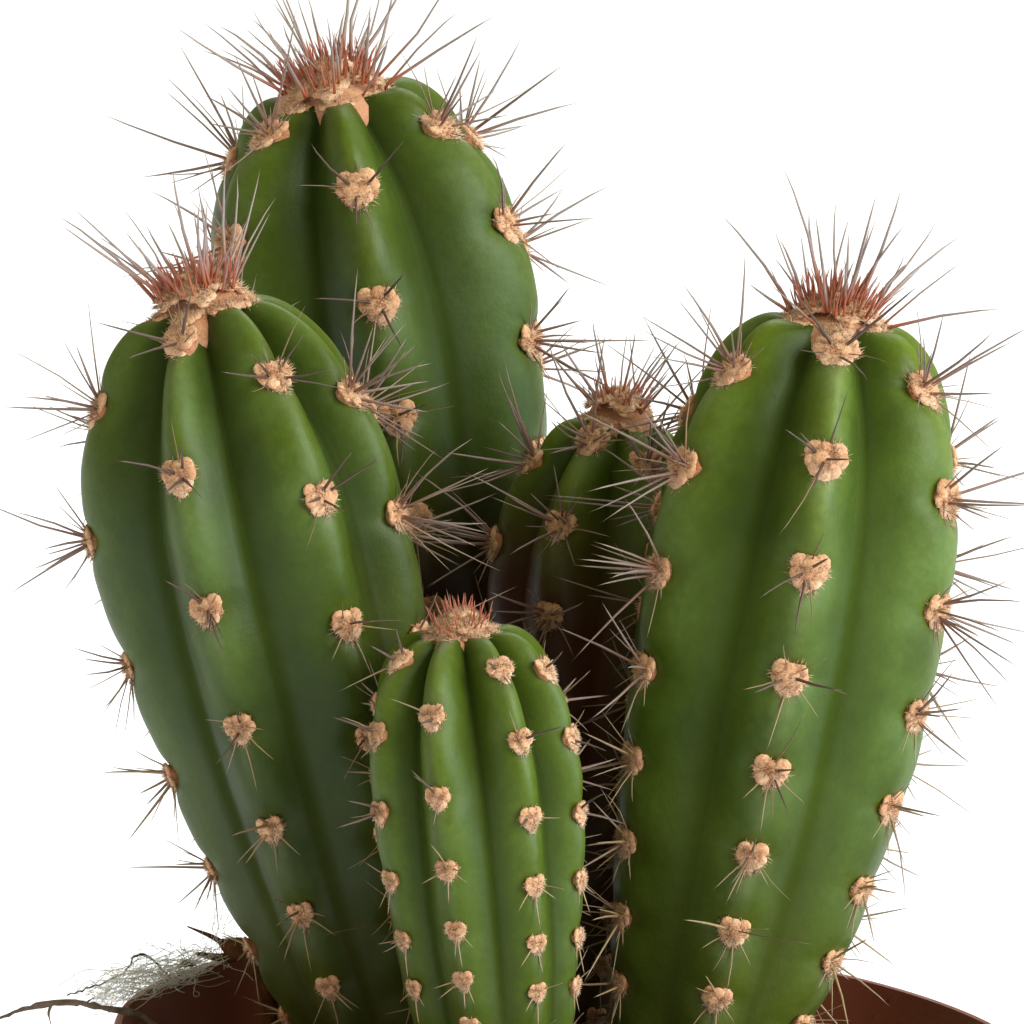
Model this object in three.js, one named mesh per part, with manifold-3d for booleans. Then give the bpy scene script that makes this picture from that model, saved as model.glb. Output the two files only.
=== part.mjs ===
// A potted tall cactus: five ribbed stems of different heights in a round plastic nursery pot.
// Millimetres, +Z up. The origin is the centre of the pot's flat underside, and the front is -Y.
import * as THREE from "three";
import { mergeVertices } from "three/addons/utils/BufferGeometryUtils.js";
import Module from "manifold-3d";

const wasm = await Module();
wasm.setup();

// ---- Driving dimensions -----------------------------------------------------------------------

const POT = {
  height: 96.5,
  rimRadius: 60,
  baseRadius: 42,
  wall: 1.2,
  floor: 1.6,
  band: 11, // height of the wider band under the rim
  underBand: 55.4, // outer radius of the wall where the band starts
  bandFoot: 57.6, // outer radius of the band's lower edge
  lip: 0.4, // rounding of the rim's edges
  segments: 40,
  drainHoles: 6,
  drainRadius: 3.5,
  drainCircle: 27,
};

const GAP = 0.35; // clearance between two pieces that touch
const SOIL_LEVEL = 83;
const SOIL_BUMP = 0.9;
const SOIL_SEGMENTS = 24;
const ROOT_DEPTH = 20; // how far a stem goes down into the soil
const HOLE_SIDES = 12;

// A stem runs from its tip down to the point where it meets the soil, along a slightly bowed line.
// crest: largest radius over the ribs; neck: radius at the soil; taper: how late it narrows.
// dome: length of the rounded top; shape: how blunt the dome is. spine: usual length of a spine.
// ribs: [azimuth, drop] for each rib, from the front (0 degrees) round past the right side. drop says
// how far the rib's first areole has slid down, as a share of the gap to the next one.
// twist: how far the ribs turn between the tip and the soil.
// clefts: where the cleft after a rib lies, as a share of the way to the next rib; else midway.
// areole: the first one's place, the spacing rule (step, shrink, least) and the cushion's half size.
const STEMS = [
  {
    name: "right",
    tip: [25.8, -5, 194.1],
    foot: [11.3, -7],
    bow: [2.2, 0],
    crest: 20.9,
    neck: 6.8,
    taper: 2.1,
    dome: 32,
    shape: 2.2,
    twist: -2,
    ribs: [[0.3, -0.45], [57, -0.15], [120, 0.7], [180, 0.1], [240, 0.55], [300.5, -0.1]],
    clefts: { 0: 0.36, 5: 0.59 },
    areole: { first: 8.9, step: 16.2, shrink: 0.091, least: 8, half: 2.65 },
    spine: 11,
    seed: 11,
  },
  {
    name: "front_left",
    tip: [-54.1, 0, 190.9],
    foot: [-19.1, -5],
    bow: [-1.2, 1],
    crest: 20.8,
    neck: 7.4,
    taper: 1.64,
    dome: 28,
    shape: 1.85,
    twist: -7.3,
    ribs: [[-17.4, -0.18], [32, 0.23], [67, 0.56], [124, 0.85], [176, 0.15], [229, 0.7], [281, 0.27]],
    clefts: { 0: 0.36, 6: 0.68 },
    areole: { first: 6.8, step: 20.7, shrink: 0.135, least: 8, half: 2.3 },
    spine: 11,
    seed: 12,
  },
  {
    name: "back_left_tall",
    tip: [-40.4, 49, 212],
    foot: [-11.7, 36],
    bow: [0.7, 5.5],
    crest: 23.5,
    neck: 9.8,
    taper: 1.16,
    dome: 31.2,
    shape: 2.13,
    twist: -7.2,
    ribs: [[7.2, 0.78], [66, 0.42], [121, 0.8], [182, 0.15], [242, 0.6], [309.5, 0.17]],
    clefts: { 0: 0.4, 5: 0.6 },
    areole: { first: 1.3, step: 20.5, shrink: 0.136, least: 8, half: 2.7 },
    spine: 11,
    seed: 13,
  },
  {
    name: "back_centre",
    tip: [-0.3, 21, 176.6],
    foot: [-5, 14],
    bow: [0, 2],
    crest: 14.3,
    neck: 9.8,
    taper: 1,
    dome: 19.5,
    shape: 1.6,
    twist: 3,
    ribs: [[-27.5, 0], [31, 0.2], [93, 0.65], [152, 0.1], [212, 0.8], [273, 0.42]],
    areole: { first: 4, step: 14.3, shrink: 0.12, least: 7, half: 2.1 },
    spine: 9,
    seed: 14,
  },
  {
    name: "front_centre",
    tip: [-18.7, -27, 155.5],
    foot: [-8.7, -29],
    bow: [0.2, 0],
    crest: 14.3,
    neck: 6.2,
    taper: 1.35,
    dome: 21.3,
    shape: 2.74,
    twist: 8.4,
    ribs: [[-19, -0.49], [27, -0.07], [65, 0.07], [124, 0.8], [180, 0.1], [236, 0.6], [302.5, -0.23]],
    areole: { first: 4.4, step: 11.9, shrink: 0.147, least: 6, half: 1.6 },
    spine: 8,
    seed: 15,
  },
];

const RIB = {
  valley: -1, // places across one rib: its crest is 0 and its two valleys are -1 and 1
  flank: 0.6,
  tipDepth: 0.5, // depth of the clefts at the tip, as a share of the crest radius
  lowDepth: 0.08, // and of the furrows further down
  fade: 22, // length over which the clefts turn into furrows
  round: 0.28, // how round the crests are; the clefts are sharp
  bend: 0.68, // 0.5 makes straight flanks
  lobeFade: 40, // length over which the lobes turn into soft waves
};
const DIMPLE = 1.8; // how far the very tip is sunk between the ribs
const BRIDGED = 0.5; // what lies on the ribs reaches only this share into the clefts

const AREOLE = {
  proud: 1.2, // how far the cushion stands out
  upper: 0.85, // width of its top, as a share of its foot, at the upper
  lower: 0.45, // and at the lower end
  fromSoil: 7, // the lowest areole's height over the soil
  young: 1.06, // size of a young cushion, at the tip, as a share of its stem's usual one
  old: 0.56, // and of an old one, at the soil
};
const SPINE = {
  radius: 0.42,
  young: 1.1, // length of the highest spines, as a share of their stem's usual one
  old: 0.55, // and of the lowest
  leanLeast: 0.25, // lean from the cushion's outward direction, radians
  leanMost: 1.0,
  clear: 1.1, // kept between spines of different pieces
  clearOwn: 0.9, // and between spines of one stem
  overSoil: 2.5, // and over the soil
  overRim: 1.5, // and from the pot's rim and the dry root
  shortest: 4, // a spine that can't be this long is left out
};
const CROWN = {
  share: 0.36, // radius of the woolly tip, as a share of the stem's crest radius
  height: 0.55, // its height, as a share of its own radius
  crest: 20, // crest radius of a full-grown stem, which has the next two:
  spines: 15,
  length: 12,
  lean: 0.75,
  turn: 2.4, // angle from one young spine to the next, radians
};

// The dry root: from the soil up the inside of the pot, over the rim and out at the left.
const STRAND = {
  radius: 0.8,
  path: [
    [-46, 0, 78],
    [-51, -1, 90],
    [-55.8, -2, 97.2],
    [-60.5, -3, 98.5],
    [-66, -4.5, 99.4],
    [-70.5, -6, 98.8],
    [-74.5, -7.5, 97.4],
  ],
  steps: 14,
  sides: 6,
};

const COLOURS = {
  pot: [0x4a241a, 0.5],
  soil: [0x2b1d14, 0.95],
  stem: [0x3f6b2c, 0.45],
  crown: [0x9a5b3c, 0.9],
  strand: [0x6a5a48, 0.9],
};

// ---- Small helpers ----------------------------------------------------------------------------

const { degToRad, radToDeg, lerp, clamp } = THREE.MathUtils;

// A seeded random generator, so that every build draws the same spines.
function seeded(seed) {
  let state = seed >>> 0;
  return () => {
    state = (state + 0x6d2b79f5) >>> 0;
    let t = Math.imul(state ^ (state >>> 15), state | 1);
    t ^= t + Math.imul(t ^ (t >>> 7), t | 61);
    return ((t ^ (t >>> 14)) >>> 0) / 4294967296;
  };
}

// A closed three.js geometry as a solid that can be joined and cut.
function solid(geometry) {
  const bare = geometry.index ? geometry.toNonIndexed() : geometry.clone();
  bare.deleteAttribute("normal");
  bare.deleteAttribute("uv");
  const merged = mergeVertices(bare, 1e-4);
  return new wasm.Manifold(
    new wasm.Mesh({
      numProp: 3,
      vertProperties: merged.attributes.position.array,
      triVerts: new Uint32Array(merged.index.array),
    }),
  );
}

// The solid's triangles as a geometry for a mesh.
function geometryOf(shape) {
  const mesh = shape.getMesh();
  const geometry = new THREE.BufferGeometry();
  geometry.setAttribute("position", new THREE.BufferAttribute(mesh.vertProperties, 3));
  geometry.setIndex(new THREE.BufferAttribute(mesh.triVerts, 1));
  geometry.computeVertexNormals();
  return geometry;
}

const join = (shapes) => shapes.reduce((whole, shape) => whole.add(shape));

// The largest body of a cut solid: loose scraps are dropped.
function largest(shape) {
  const bodies = shape.decompose();
  return bodies.reduce((best, body) => (body.volume() > best.volume() ? body : best));
}

function named(name, shape, [colour, roughness]) {
  const material = new THREE.MeshStandardMaterial({ color: colour, roughness, metalness: 0 });
  const mesh = new THREE.Mesh(geometryOf(shape), material);
  mesh.name = name;
  return mesh;
}

// A turned solid from [radius, height] points, standing on +Z.
function turned(outline, segments) {
  const points = outline.map(([radius, height]) => new THREE.Vector2(radius, height));
  return solid(new THREE.LatheGeometry(points, segments).rotateX(Math.PI / 2));
}

// Joins rows of points, each with as many points as the next, into a closed skin between two poles.
function loft(first, rows, last) {
  const columns = rows[0].length;
  const index = [];
  const at = (row, column) => 1 + row * columns + (column % columns);
  const end = 1 + rows.length * columns;
  for (let column = 0; column < columns; column++) {
    index.push(0, at(0, column), at(0, column + 1));
    for (let row = 0; row + 1 < rows.length; row++) {
      index.push(at(row, column), at(row + 1, column), at(row, column + 1));
      index.push(at(row, column + 1), at(row + 1, column), at(row + 1, column + 1));
    }
    index.push(at(rows.length - 1, column + 1), at(rows.length - 1, column), end);
  }
  const geometry = new THREE.BufferGeometry().setFromPoints([first, ...rows.flat(), last]);
  geometry.setIndex(index);
  return geometry;
}

// ---- One stem's form --------------------------------------------------------------------------

// Adds the stem's centre line: a curve from the tip to the soil, and its length.
function withLine(stem) {
  const tip = new THREE.Vector3(...stem.tip);
  const foot = new THREE.Vector3(...stem.foot, SOIL_LEVEL);
  const pull = new THREE.Vector3(2 * stem.bow[0], 2 * stem.bow[1], 0);
  const control = tip.clone().add(foot).multiplyScalar(0.5).add(pull);
  const line = new THREE.QuadraticBezierCurve3(tip, control, foot);
  return { ...stem, line, length: line.getLength() };
}

// The centre point, upward direction, right and front directions at a distance below the tip.
function frameAt(stem, below) {
  const share = clamp(below / stem.length, 0, 1);
  const up = stem.line.getTangentAt(share).negate();
  const centre = stem.line.getPointAt(share);
  centre.addScaledVector(up, share * stem.length - below);
  const right = new THREE.Vector3(1, 0, 0).addScaledVector(up, -up.x).normalize();
  const front = new THREE.Vector3().crossVectors(right, up);
  return { centre, up, right, front };
}

// The radius over the ribs: a blunt dome, then a slow taper to the neck, then the buried root.
function crestRadius(stem, below) {
  if (below < stem.dome) {
    const rise = 1 - Math.max(below, 0) / stem.dome;
    return stem.crest * (1 - rise ** stem.shape) ** (1 / stem.shape);
  }
  if (below < stem.length) {
    const along = (below - stem.dome) / (stem.length - stem.dome);
    return stem.crest - (stem.crest - stem.neck) * along ** stem.taper;
  }
  const buried = (below - stem.length) / ROOT_DEPTH;
  return stem.neck * (1 - 0.6 * buried ** 2);
}

// How much a point across a rib lies inside the crest: 0 on the crest, most in the valley.
function ribCut(below, across) {
  const depth = lerp(RIB.lowDepth, RIB.tipDepth, Math.exp(-below / RIB.fade));
  const bend = (place) => (place ** 2 + RIB.round ** 2) ** RIB.bend;
  const lobe = (bend(across) - bend(0)) / (bend(1) - bend(0));
  const furrow = Math.sin((Math.PI / 2) * across) ** 2;
  return depth * lerp(furrow, lobe, Math.exp(-below / RIB.lobeFade));
}

// The azimuths and rib places of one row of points: every rib from its left valley to its right flank.
function columns(stem) {
  const count = stem.ribs.length;
  return stem.ribs.flatMap(([azimuth, drop], i) => {
    const previous = stem.ribs[(i + count - 1) % count];
    const next = stem.ribs[(i + 1) % count];
    const { [(i + count - 1) % count]: cleftBefore = 0.5, [i]: cleftAfter = 0.5 } = stem.clefts ?? {};
    const left = (azimuth - previous[0] + (i === 0 ? 360 : 0)) * (1 - cleftBefore);
    const right = (next[0] - azimuth + (i === count - 1 ? 360 : 0)) * cleftAfter;
    const edge = radToDeg((0.8 * stem.areole.half) / stem.crest);
    const across = [RIB.valley, -RIB.flank, -edge / left, edge / right, RIB.flank];
    return across.map((place) => ({
      azimuth: azimuth + place * (place < 0 ? left : right),
      across: place,
      drops: place === RIB.valley ? [previous[1], drop] : [drop],
      crest: place < 0 && place > -RIB.flank,
    }));
  });
}

// The point at a distance below the tip, in a direction round the stem that turns with its twist.
function pointAt(stem, below, azimuth, radius) {
  const { centre, right, front } = frameAt(stem, below);
  const turn = degToRad(azimuth + (stem.twist * below) / stem.length);
  centre.addScaledVector(right, radius * Math.sin(turn));
  return centre.addScaledVector(front, radius * Math.cos(turn));
}

// Distances below the tip of one rib's areoles: wide apart at the shoulder, closer towards the soil.
function areolePlaces(stem, drop) {
  const { first, step, shrink, least } = stem.areole;
  const places = [];
  let below = first;
  while (below < stem.length - AREOLE.fromSoil - least) {
    const young = 1 - 0.45 * Math.exp(-below / (0.4 * stem.crest));
    const gap = Math.max(step * young - shrink * below, least);
    places.push(below + drop * gap);
    below += gap;
  }
  return places;
}

// A place on the crest moved down it by a distance along the surface.
function slide(stem, below, distance) {
  const steps = 12;
  let place = below;
  for (let i = 0; i < steps; i++) {
    const slope = (crestRadius(stem, place + 0.05) - crestRadius(stem, Math.max(place - 0.05, 0))) / 0.1;
    place = Math.max(place + distance / steps / Math.hypot(1, slope), 0.1);
  }
  return place;
}

// Distances below the tip of one column's points: over and under each areole, then into the soil.
function rowPlaces(stem, drop) {
  const edges = areolePlaces(stem, drop).flatMap((place) => {
    const half = stem.areole.half * lerp(AREOLE.young, AREOLE.old, place / stem.length);
    return [slide(stem, place, -half), slide(stem, place, half)];
  });
  const start = [0.012 * stem.dome, Math.max(0.45 * edges[0], 0.02 * stem.dome)];
  const end = [stem.length, stem.length + 0.6 * ROOT_DEPTH, stem.length + ROOT_DEPTH];
  return [...start, ...edges, ...end];
}

// The skin's points, row by row. grow makes the stem larger, for cutting what lies on its ribs.
function skinRows(stem, grow = 0) {
  const perColumn = columns(stem).map((column) => {
    const places = column.drops.map((drop) => rowPlaces(stem, drop));
    return places[0].map((_, row) => {
      const below = places.reduce((sum, list) => sum + list[row], 0) / places.length;
      const cut = ribCut(below, column.across) * (grow ? BRIDGED : 1);
      const radius = crestRadius(stem, below) * (1 - cut);
      return pointAt(stem, below - grow, column.azimuth, radius + grow);
    });
  });
  return perColumn[0].map((_, row) => perColumn.map((points) => points[row]));
}

// The skin's two poles: the sunk tip, bridged under what lies on it, and the end of the root.
const tipDimple = (stem, grow = 0) => frameAt(stem, grow ? -grow : DIMPLE).centre;
const rootEnd = (stem) => frameAt(stem, stem.length + ROOT_DEPTH + 1).centre;

// The plain round hole that the stem stands in.
function hole(stem) {
  const places = [-8, 0, 0.6 * ROOT_DEPTH, ROOT_DEPTH + GAP].map((place) => stem.length + place);
  const rows = places.map((below) =>
    Array.from({ length: HOLE_SIDES }, (_, i) =>
      pointAt(stem, below, (360 * i) / HOLE_SIDES, crestRadius(stem, below) * 1.04 + GAP),
    ),
  );
  const top = frameAt(stem, stem.length - 8).centre;
  return solid(loft(top, rows, frameAt(stem, stem.length + ROOT_DEPTH + 1 + GAP).centre));
}

// ---- Areoles and spines -----------------------------------------------------------------------

const centroid = (points) =>
  points.reduce((sum, point) => sum.add(point), new THREE.Vector3()).divideScalar(points.length);

// The middle of an areole and the directions out of it, down the rib and across it.
function areoleFrame([upperLeft, lowerLeft, lowerRight, upperRight]) {
  const middle = centroid([upperLeft, lowerLeft, lowerRight, upperRight]);
  const down = lowerLeft.clone().add(lowerRight).sub(upperLeft).sub(upperRight).normalize();
  const across = upperRight.clone().sub(upperLeft).normalize();
  const out = new THREE.Vector3().crossVectors(down, across).normalize();
  const side = new THREE.Vector3().crossVectors(out, down).normalize();
  return { middle, down, side, out };
}

// The corners of a cushion's top: the areole's foot, raised and drawn in, most at its lower end.
function cushionTop(corners, { middle, out }) {
  return corners.map((corner, i) => {
    const share = i === 0 || i === 3 ? AREOLE.upper : AREOLE.lower;
    return corner.clone().sub(middle).multiplyScalar(share).add(middle).addScaledVector(out, AREOLE.proud);
  });
}

// Walls between a polygon's corners and the same number of inner ones, with faces pointing out.
function addWalls(faces, outer, inner) {
  outer.forEach((corner, i) => {
    const next = (i + 1) % outer.length;
    faces.push(corner, outer[next], inner[i], inner[i], outer[next], inner[next]);
  });
}

// A three-sided spine that stands on one triangle of a cushion's top.
function addSpine(faces, triangle, tip) {
  const middle = centroid(triangle);
  const root = triangle.map((corner) => corner.clone().sub(middle).setLength(SPINE.radius).add(middle));
  addWalls(faces, triangle, root);
  root.forEach((corner, i) => faces.push(corner, root[(i + 1) % 3], tip));
}

// A separate spine, for the crown: a slim pyramid from its root to its tip.
function looseSpine(root, direction, length) {
  const cone = new THREE.ConeGeometry(SPINE.radius, length, 3);
  cone.translate(0, length / 2, 0);
  const turn = new THREE.Quaternion().setFromUnitVectors(new THREE.Vector3(0, 1, 0), direction);
  const pose = new THREE.Matrix4().compose(root, turn, new THREE.Vector3(1, 1, 1));
  return solid(cone.applyMatrix4(pose));
}

// Leans a direction outwards towards a bearing round it.
function leaned({ out, down, side }, lean, bearing) {
  return out
    .clone()
    .multiplyScalar(Math.cos(lean))
    .addScaledVector(down, Math.sin(lean) * Math.cos(bearing))
    .addScaledVector(side, Math.sin(lean) * Math.sin(bearing))
    .normalize();
}

// ---- Keeping spines clear of what they don't grow on --------------------------------------------

const placed = []; // every spine so far: {owner, areole, line}
const strandCurve = new THREE.CatmullRomCurve3(STRAND.path.map((point) => new THREE.Vector3(...point)));
const strandPoints = strandCurve.getSpacedPoints(40);

// Whether a point lies in its own stem, or too near another stem, the soil, the pot or the dry root.
function blocked(point, owner, stems) {
  const across = Math.hypot(point.x, point.y);
  if (point.z < SOIL_LEVEL + SPINE.overSoil && across < POT.rimRadius) return true;
  if (point.z < POT.height + SPINE.overRim && across > POT.underBand - SPINE.overRim) return true;
  if (strandPoints.some((near) => near.distanceTo(point) < STRAND.radius + SPINE.overRim)) return true;
  return stems.some((stem) => {
    const clear = owner.endsWith(stem.name) ? 0 : SPINE.clear;
    return insideStem(stem, point, AREOLE.proud + clear);
  });
}

// Whether a point lies within a distance of a stem's crests.
function insideStem(stem, point, clear) {
  const step = 2;
  for (let below = 0; below < stem.length; below += step) {
    const { centre, up } = frameAt(stem, below);
    const offset = point.clone().sub(centre);
    const along = offset.dot(up);
    const across = Math.sqrt(Math.max(offset.lengthSq() - along ** 2, 0));
    if (Math.abs(along) < step && across < crestRadius(stem, below) + clear) return true;
  }
  return false;
}

// The longest clear length of a spine, in steps down from the wanted one; 0 if there is none.
function clearLength(owner, areole, root, direction, wanted, stems) {
  for (let length = wanted; length > SPINE.shortest; length -= 1.5) {
    const tip = root.clone().addScaledVector(direction, length);
    const line = new THREE.Line3(root, tip);
    const points = [0.3, 0.5, 0.7, 0.85, 1].map((share) => line.at(share, new THREE.Vector3()));
    const crosses = placed.some((other) => {
      if (other.areole === areole) return false;
      const clear = other.owner === owner ? SPINE.clearOwn : SPINE.clear;
      return other.line.distanceSqToLine3(line) < clear ** 2;
    });
    if (!crosses && !points.some((point) => blocked(point, owner, stems))) {
      placed.push({ owner, areole, line });
      return length;
    }
  }
  return 0;
}

// ---- The pieces ---------------------------------------------------------------------------------

// The woolly tip with its young spines, lying over the sunk tip of the stem.
function crown(stem, stems) {
  const draw = seeded(stem.seed * 101);
  const radius = CROWN.share * stem.crest;
  const { centre, up, right, front } = frameAt(stem, 0);
  const wool = new THREE.IcosahedronGeometry(radius, 1).scale(1, 1, CROWN.height);
  const pose = new THREE.Matrix4().makeBasis(right, front.clone().negate(), up).setPosition(centre);
  const pieces = [solid(wool.applyMatrix4(pose))];
  const place = { out: up, down: front, side: right };
  const owner = "crown_" + stem.name;
  const size = stem.crest / CROWN.crest;
  const count = Math.round(CROWN.spines * size);
  for (let i = 0; i < count; i++) {
    const bearing = CROWN.turn * i;
    const spread = Math.sqrt((i + 0.5) / count);
    const direction = leaned(place, CROWN.lean * spread + 0.1 * draw(), bearing);
    const root = centre
      .clone()
      .addScaledVector(leaned(place, Math.PI / 2, bearing), 0.55 * radius * spread)
      .addScaledVector(up, 0.2 * radius);
    const wanted = CROWN.length * (0.75 + 0.35 * draw()) * Math.sqrt(size);
    const length = clearLength(owner, owner, root, direction, wanted, stems);
    if (length) pieces.push(looseSpine(root, direction, length));
  }
  const under = solid(loft(tipDimple(stem, GAP), skinRows(stem, GAP), rootEnd(stem)));
  return largest(join(pieces).subtract(under));
}

// One stem: its ribbed skin, in which each areole's patch rises into a cushion with its spines.
function stemBody(stem, stems) {
  const draw = seeded(stem.seed);
  const rows = skinRows(stem);
  const onCrest = columns(stem).map((column) => column.crest);
  const reach = CROWN.share * stem.crest + 0.95 * stem.areole.half + 0.4;
  const tip = frameAt(stem, 0).centre;
  const faces = [];
  for (let column = 0; column < onCrest.length; column++) {
    const right = (column + 1) % onCrest.length;
    faces.push(tipDimple(stem), rows[0][column], rows[0][right]);
    faces.push(rows.at(-1)[right], rows.at(-1)[column], rootEnd(stem));
    for (let row = 0; row + 1 < rows.length; row++) {
      const [a, b] = [rows[row][column], rows[row + 1][column]];
      const [c, d] = [rows[row + 1][right], rows[row][right]];
      const patch = onCrest[column] && isAreoleRow(row, rows.length);
      if (patch && centroid([a, b, c, d]).distanceTo(tip) > reach) {
        addAreole(faces, [a, b, c, d], stem, draw, stems);
      } else {
        faces.push(a, b, d, d, b, c);
      }
    }
  }
  return solid(new THREE.BufferGeometry().setFromPoints(faces));
}

// Two rows start a stem and three end it; every other one between them starts an areole.
const isAreoleRow = (row, count) => row >= 2 && row < count - 4 && row % 2 === 0;

// An areole on one patch of the crest: a cushion whose top triangles carry a spine each.
function addAreole(faces, corners, stem, draw, stems) {
  const frame = areoleFrame(corners);
  const top = cushionTop(corners, frame);
  addWalls(faces, corners, top);
  const [a, b, c, d] = top;
  const triangles = draw() < 0.5 ? [[a, b, d], [d, b, c]] : [[a, b, c], [a, c, d]];
  const areole = placed.length;
  const middle = centroid(top);
  const age = (stem.tip[2] - middle.z) / (stem.tip[2] - SOIL_LEVEL);
  const usual = stem.spine * lerp(SPINE.young, SPINE.old, age);
  for (const triangle of triangles) {
    const root = centroid(triangle);
    const away = root.clone().sub(middle);
    const bearing = Math.atan2(away.dot(frame.side), away.dot(frame.down)) + 1.6 * (draw() - 0.5);
    const lean = lerp(SPINE.leanLeast, SPINE.leanMost, draw());
    const direction = leaned(frame, lean, bearing);
    const wanted = usual * (0.75 + 0.4 * draw());
    const length = clearLength("stem_" + stem.name, areole, root, direction, wanted, stems);
    if (length) addSpine(faces, triangle, root.clone().addScaledVector(direction, length));
    else faces.push(...triangle);
  }
}

// The radius of the pot's inside under the band, at a height.
function potInside(height) {
  const share = (height - POT.floor) / (POT.height - POT.band - POT.floor);
  return lerp(POT.baseRadius, POT.underBand, share) - POT.wall;
}

// The pot: one thin wall with a wider band under its rim, and drain holes round its floor.
function pot() {
  const { height, rimRadius, baseRadius, underBand, bandFoot, wall, floor, lip } = POT;
  const ledge = height - POT.band;
  const outline = [
    [0, 0],
    [baseRadius - wall, 0],
    [baseRadius, wall],
    [underBand, ledge - wall],
    [bandFoot - lip, ledge],
    [rimRadius, height - lip],
    [rimRadius - lip, height],
    [rimRadius - wall, height - lip],
    [bandFoot - lip - wall, ledge + lip],
    [potInside(ledge - wall), ledge - wall],
    [potInside(floor), floor],
    [0, floor],
  ];
  return turned(outline, POT.segments).subtract(join(drainHoles()));
}

function drainHoles() {
  return Array.from({ length: POT.drainHoles }, (_, i) => {
    const turn = (2 * Math.PI * (i + 0.5)) / POT.drainHoles;
    const drill = new THREE.CylinderGeometry(POT.drainRadius, POT.drainRadius, 4 * POT.floor, 8);
    drill.rotateX(Math.PI / 2);
    drill.translate(POT.drainCircle * Math.cos(turn), POT.drainCircle * Math.sin(turn), 0);
    return solid(drill);
  });
}

// The height of the potting mix: gentle lumps round the soil level.
function soilHeight(x, y) {
  const lumps = Math.sin(0.23 * x + 1) * Math.cos(0.31 * y) + 0.5 * Math.sin(0.5 * x - 0.4 * y);
  return SOIL_LEVEL - 1 + SOIL_BUMP * lumps;
}

// A ring of points round the pot's axis at a height, or at the lumpy top if none is given.
function soilRing(radius, height) {
  return Array.from({ length: SOIL_SEGMENTS }, (_, i) => {
    const turn = (2 * Math.PI * i) / SOIL_SEGMENTS;
    const [x, y] = [radius * Math.cos(turn), radius * Math.sin(turn)];
    return new THREE.Vector3(x, y, height ?? soilHeight(x, y));
  });
}

// The potting mix: it fills the pot to the soil level, with a lumpy top and a hole for each stem.
function soil(stems) {
  const wallAt = (height) => potInside(height) - 2 * GAP;
  const edge = SOIL_LEVEL - 2.6;
  const bottom = POT.floor + GAP;
  const rows = [
    ...[0.25, 0.5, 0.75, 0.96].map((share) => soilRing(share * wallAt(edge))),
    soilRing(wallAt(edge), edge),
    soilRing(wallAt(bottom + 1), bottom + 1),
    soilRing(wallAt(bottom) - 1.4, bottom),
  ];
  const top = new THREE.Vector3(0, 0, soilHeight(0, 0));
  const mix = solid(loft(top, rows, new THREE.Vector3(0, 0, bottom)));
  return largest(mix.subtract(join([...stems.map(hole), strand(2 * GAP)])));
}

// The dry root. grow makes it thicker and longer, for the hole that it stands in.
function strand(grow = 0) {
  const section = new THREE.Shape();
  section.absarc(0, 0, STRAND.radius + grow, 0, 2 * Math.PI);
  const end = strandCurve.points[0].clone().setZ(strandCurve.points[0].z - grow);
  const curve = new THREE.CatmullRomCurve3(grow ? [end, ...strandCurve.points] : strandCurve.points);
  return solid(
    new THREE.ExtrudeGeometry(section, {
      extrudePath: curve,
      steps: STRAND.steps,
      curveSegments: STRAND.sides / 2,
    }),
  );
}

// ---- The plant in its pot -----------------------------------------------------------------------

const stems = STEMS.map(withLine);
const cactus = new THREE.Group();
cactus.add(named("pot", pot(), COLOURS.pot));
cactus.add(named("soil", soil(stems), COLOURS.soil));
for (const stem of stems) cactus.add(named("crown_" + stem.name, crown(stem, stems), COLOURS.crown));
for (const stem of stems) cactus.add(named("stem_" + stem.name, stemBody(stem, stems), COLOURS.stem));
cactus.add(named("dry_root_strand", strand(), COLOURS.strand));

export default cactus;
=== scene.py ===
# %% [markdown]
# # A potted tall cactus
# Five ribbed stems of a columnar cactus stand close together in a round plastic nursery pot. The
# measured solids come first, as a fixed frame. Each of them is coarse, so this lesson grows a
# finer piece on the same dimensions: skin, felt cushions, spines, woolly tips, soil, pot and a
# dry root.

# %% Load the measured model
import math

import bpy
import numpy as np
from mathutils import Matrix, Vector, noise


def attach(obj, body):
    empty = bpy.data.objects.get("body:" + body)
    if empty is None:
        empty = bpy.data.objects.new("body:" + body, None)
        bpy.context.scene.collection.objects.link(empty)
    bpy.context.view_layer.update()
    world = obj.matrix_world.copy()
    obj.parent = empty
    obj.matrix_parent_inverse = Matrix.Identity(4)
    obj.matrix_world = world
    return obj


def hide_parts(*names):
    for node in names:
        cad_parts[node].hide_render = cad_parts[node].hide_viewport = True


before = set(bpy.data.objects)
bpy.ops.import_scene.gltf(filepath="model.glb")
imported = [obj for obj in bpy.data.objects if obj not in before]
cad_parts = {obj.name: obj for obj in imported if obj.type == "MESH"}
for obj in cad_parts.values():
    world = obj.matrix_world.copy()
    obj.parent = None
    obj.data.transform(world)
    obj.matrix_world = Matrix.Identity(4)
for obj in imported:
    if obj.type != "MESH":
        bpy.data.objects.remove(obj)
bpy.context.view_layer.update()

print("measured nodes:", sorted(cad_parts))

# %% [markdown]
# ## Camera
# The photograph was taken from about 0.95 m away with a long lens, looking down by ten degrees
# and held a few degrees out of level. The pot's rim shows as a piece of a tilted ellipse at the
# picture's lower corners, and that gave the three directions below. All lengths of the plant are
# written in millimetres, as they were measured, and become metres only when points go into a
# mesh.

# %% Place the camera
MM = 0.001
LOOK_RIGHT = Vector((0.99813, 0.01088, 0.06007))
LOOK_UP = Vector((-0.06105, 0.17790, 0.98215))
LOOK_BACK = Vector((0, -0.98399, 0.17823))
CAMERA_PLACE = Vector((-13.1955, -922.4435, 332.4772)) * MM
LENS, SENSOR = 261.06, 36
NEAREST = 0.01

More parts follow.
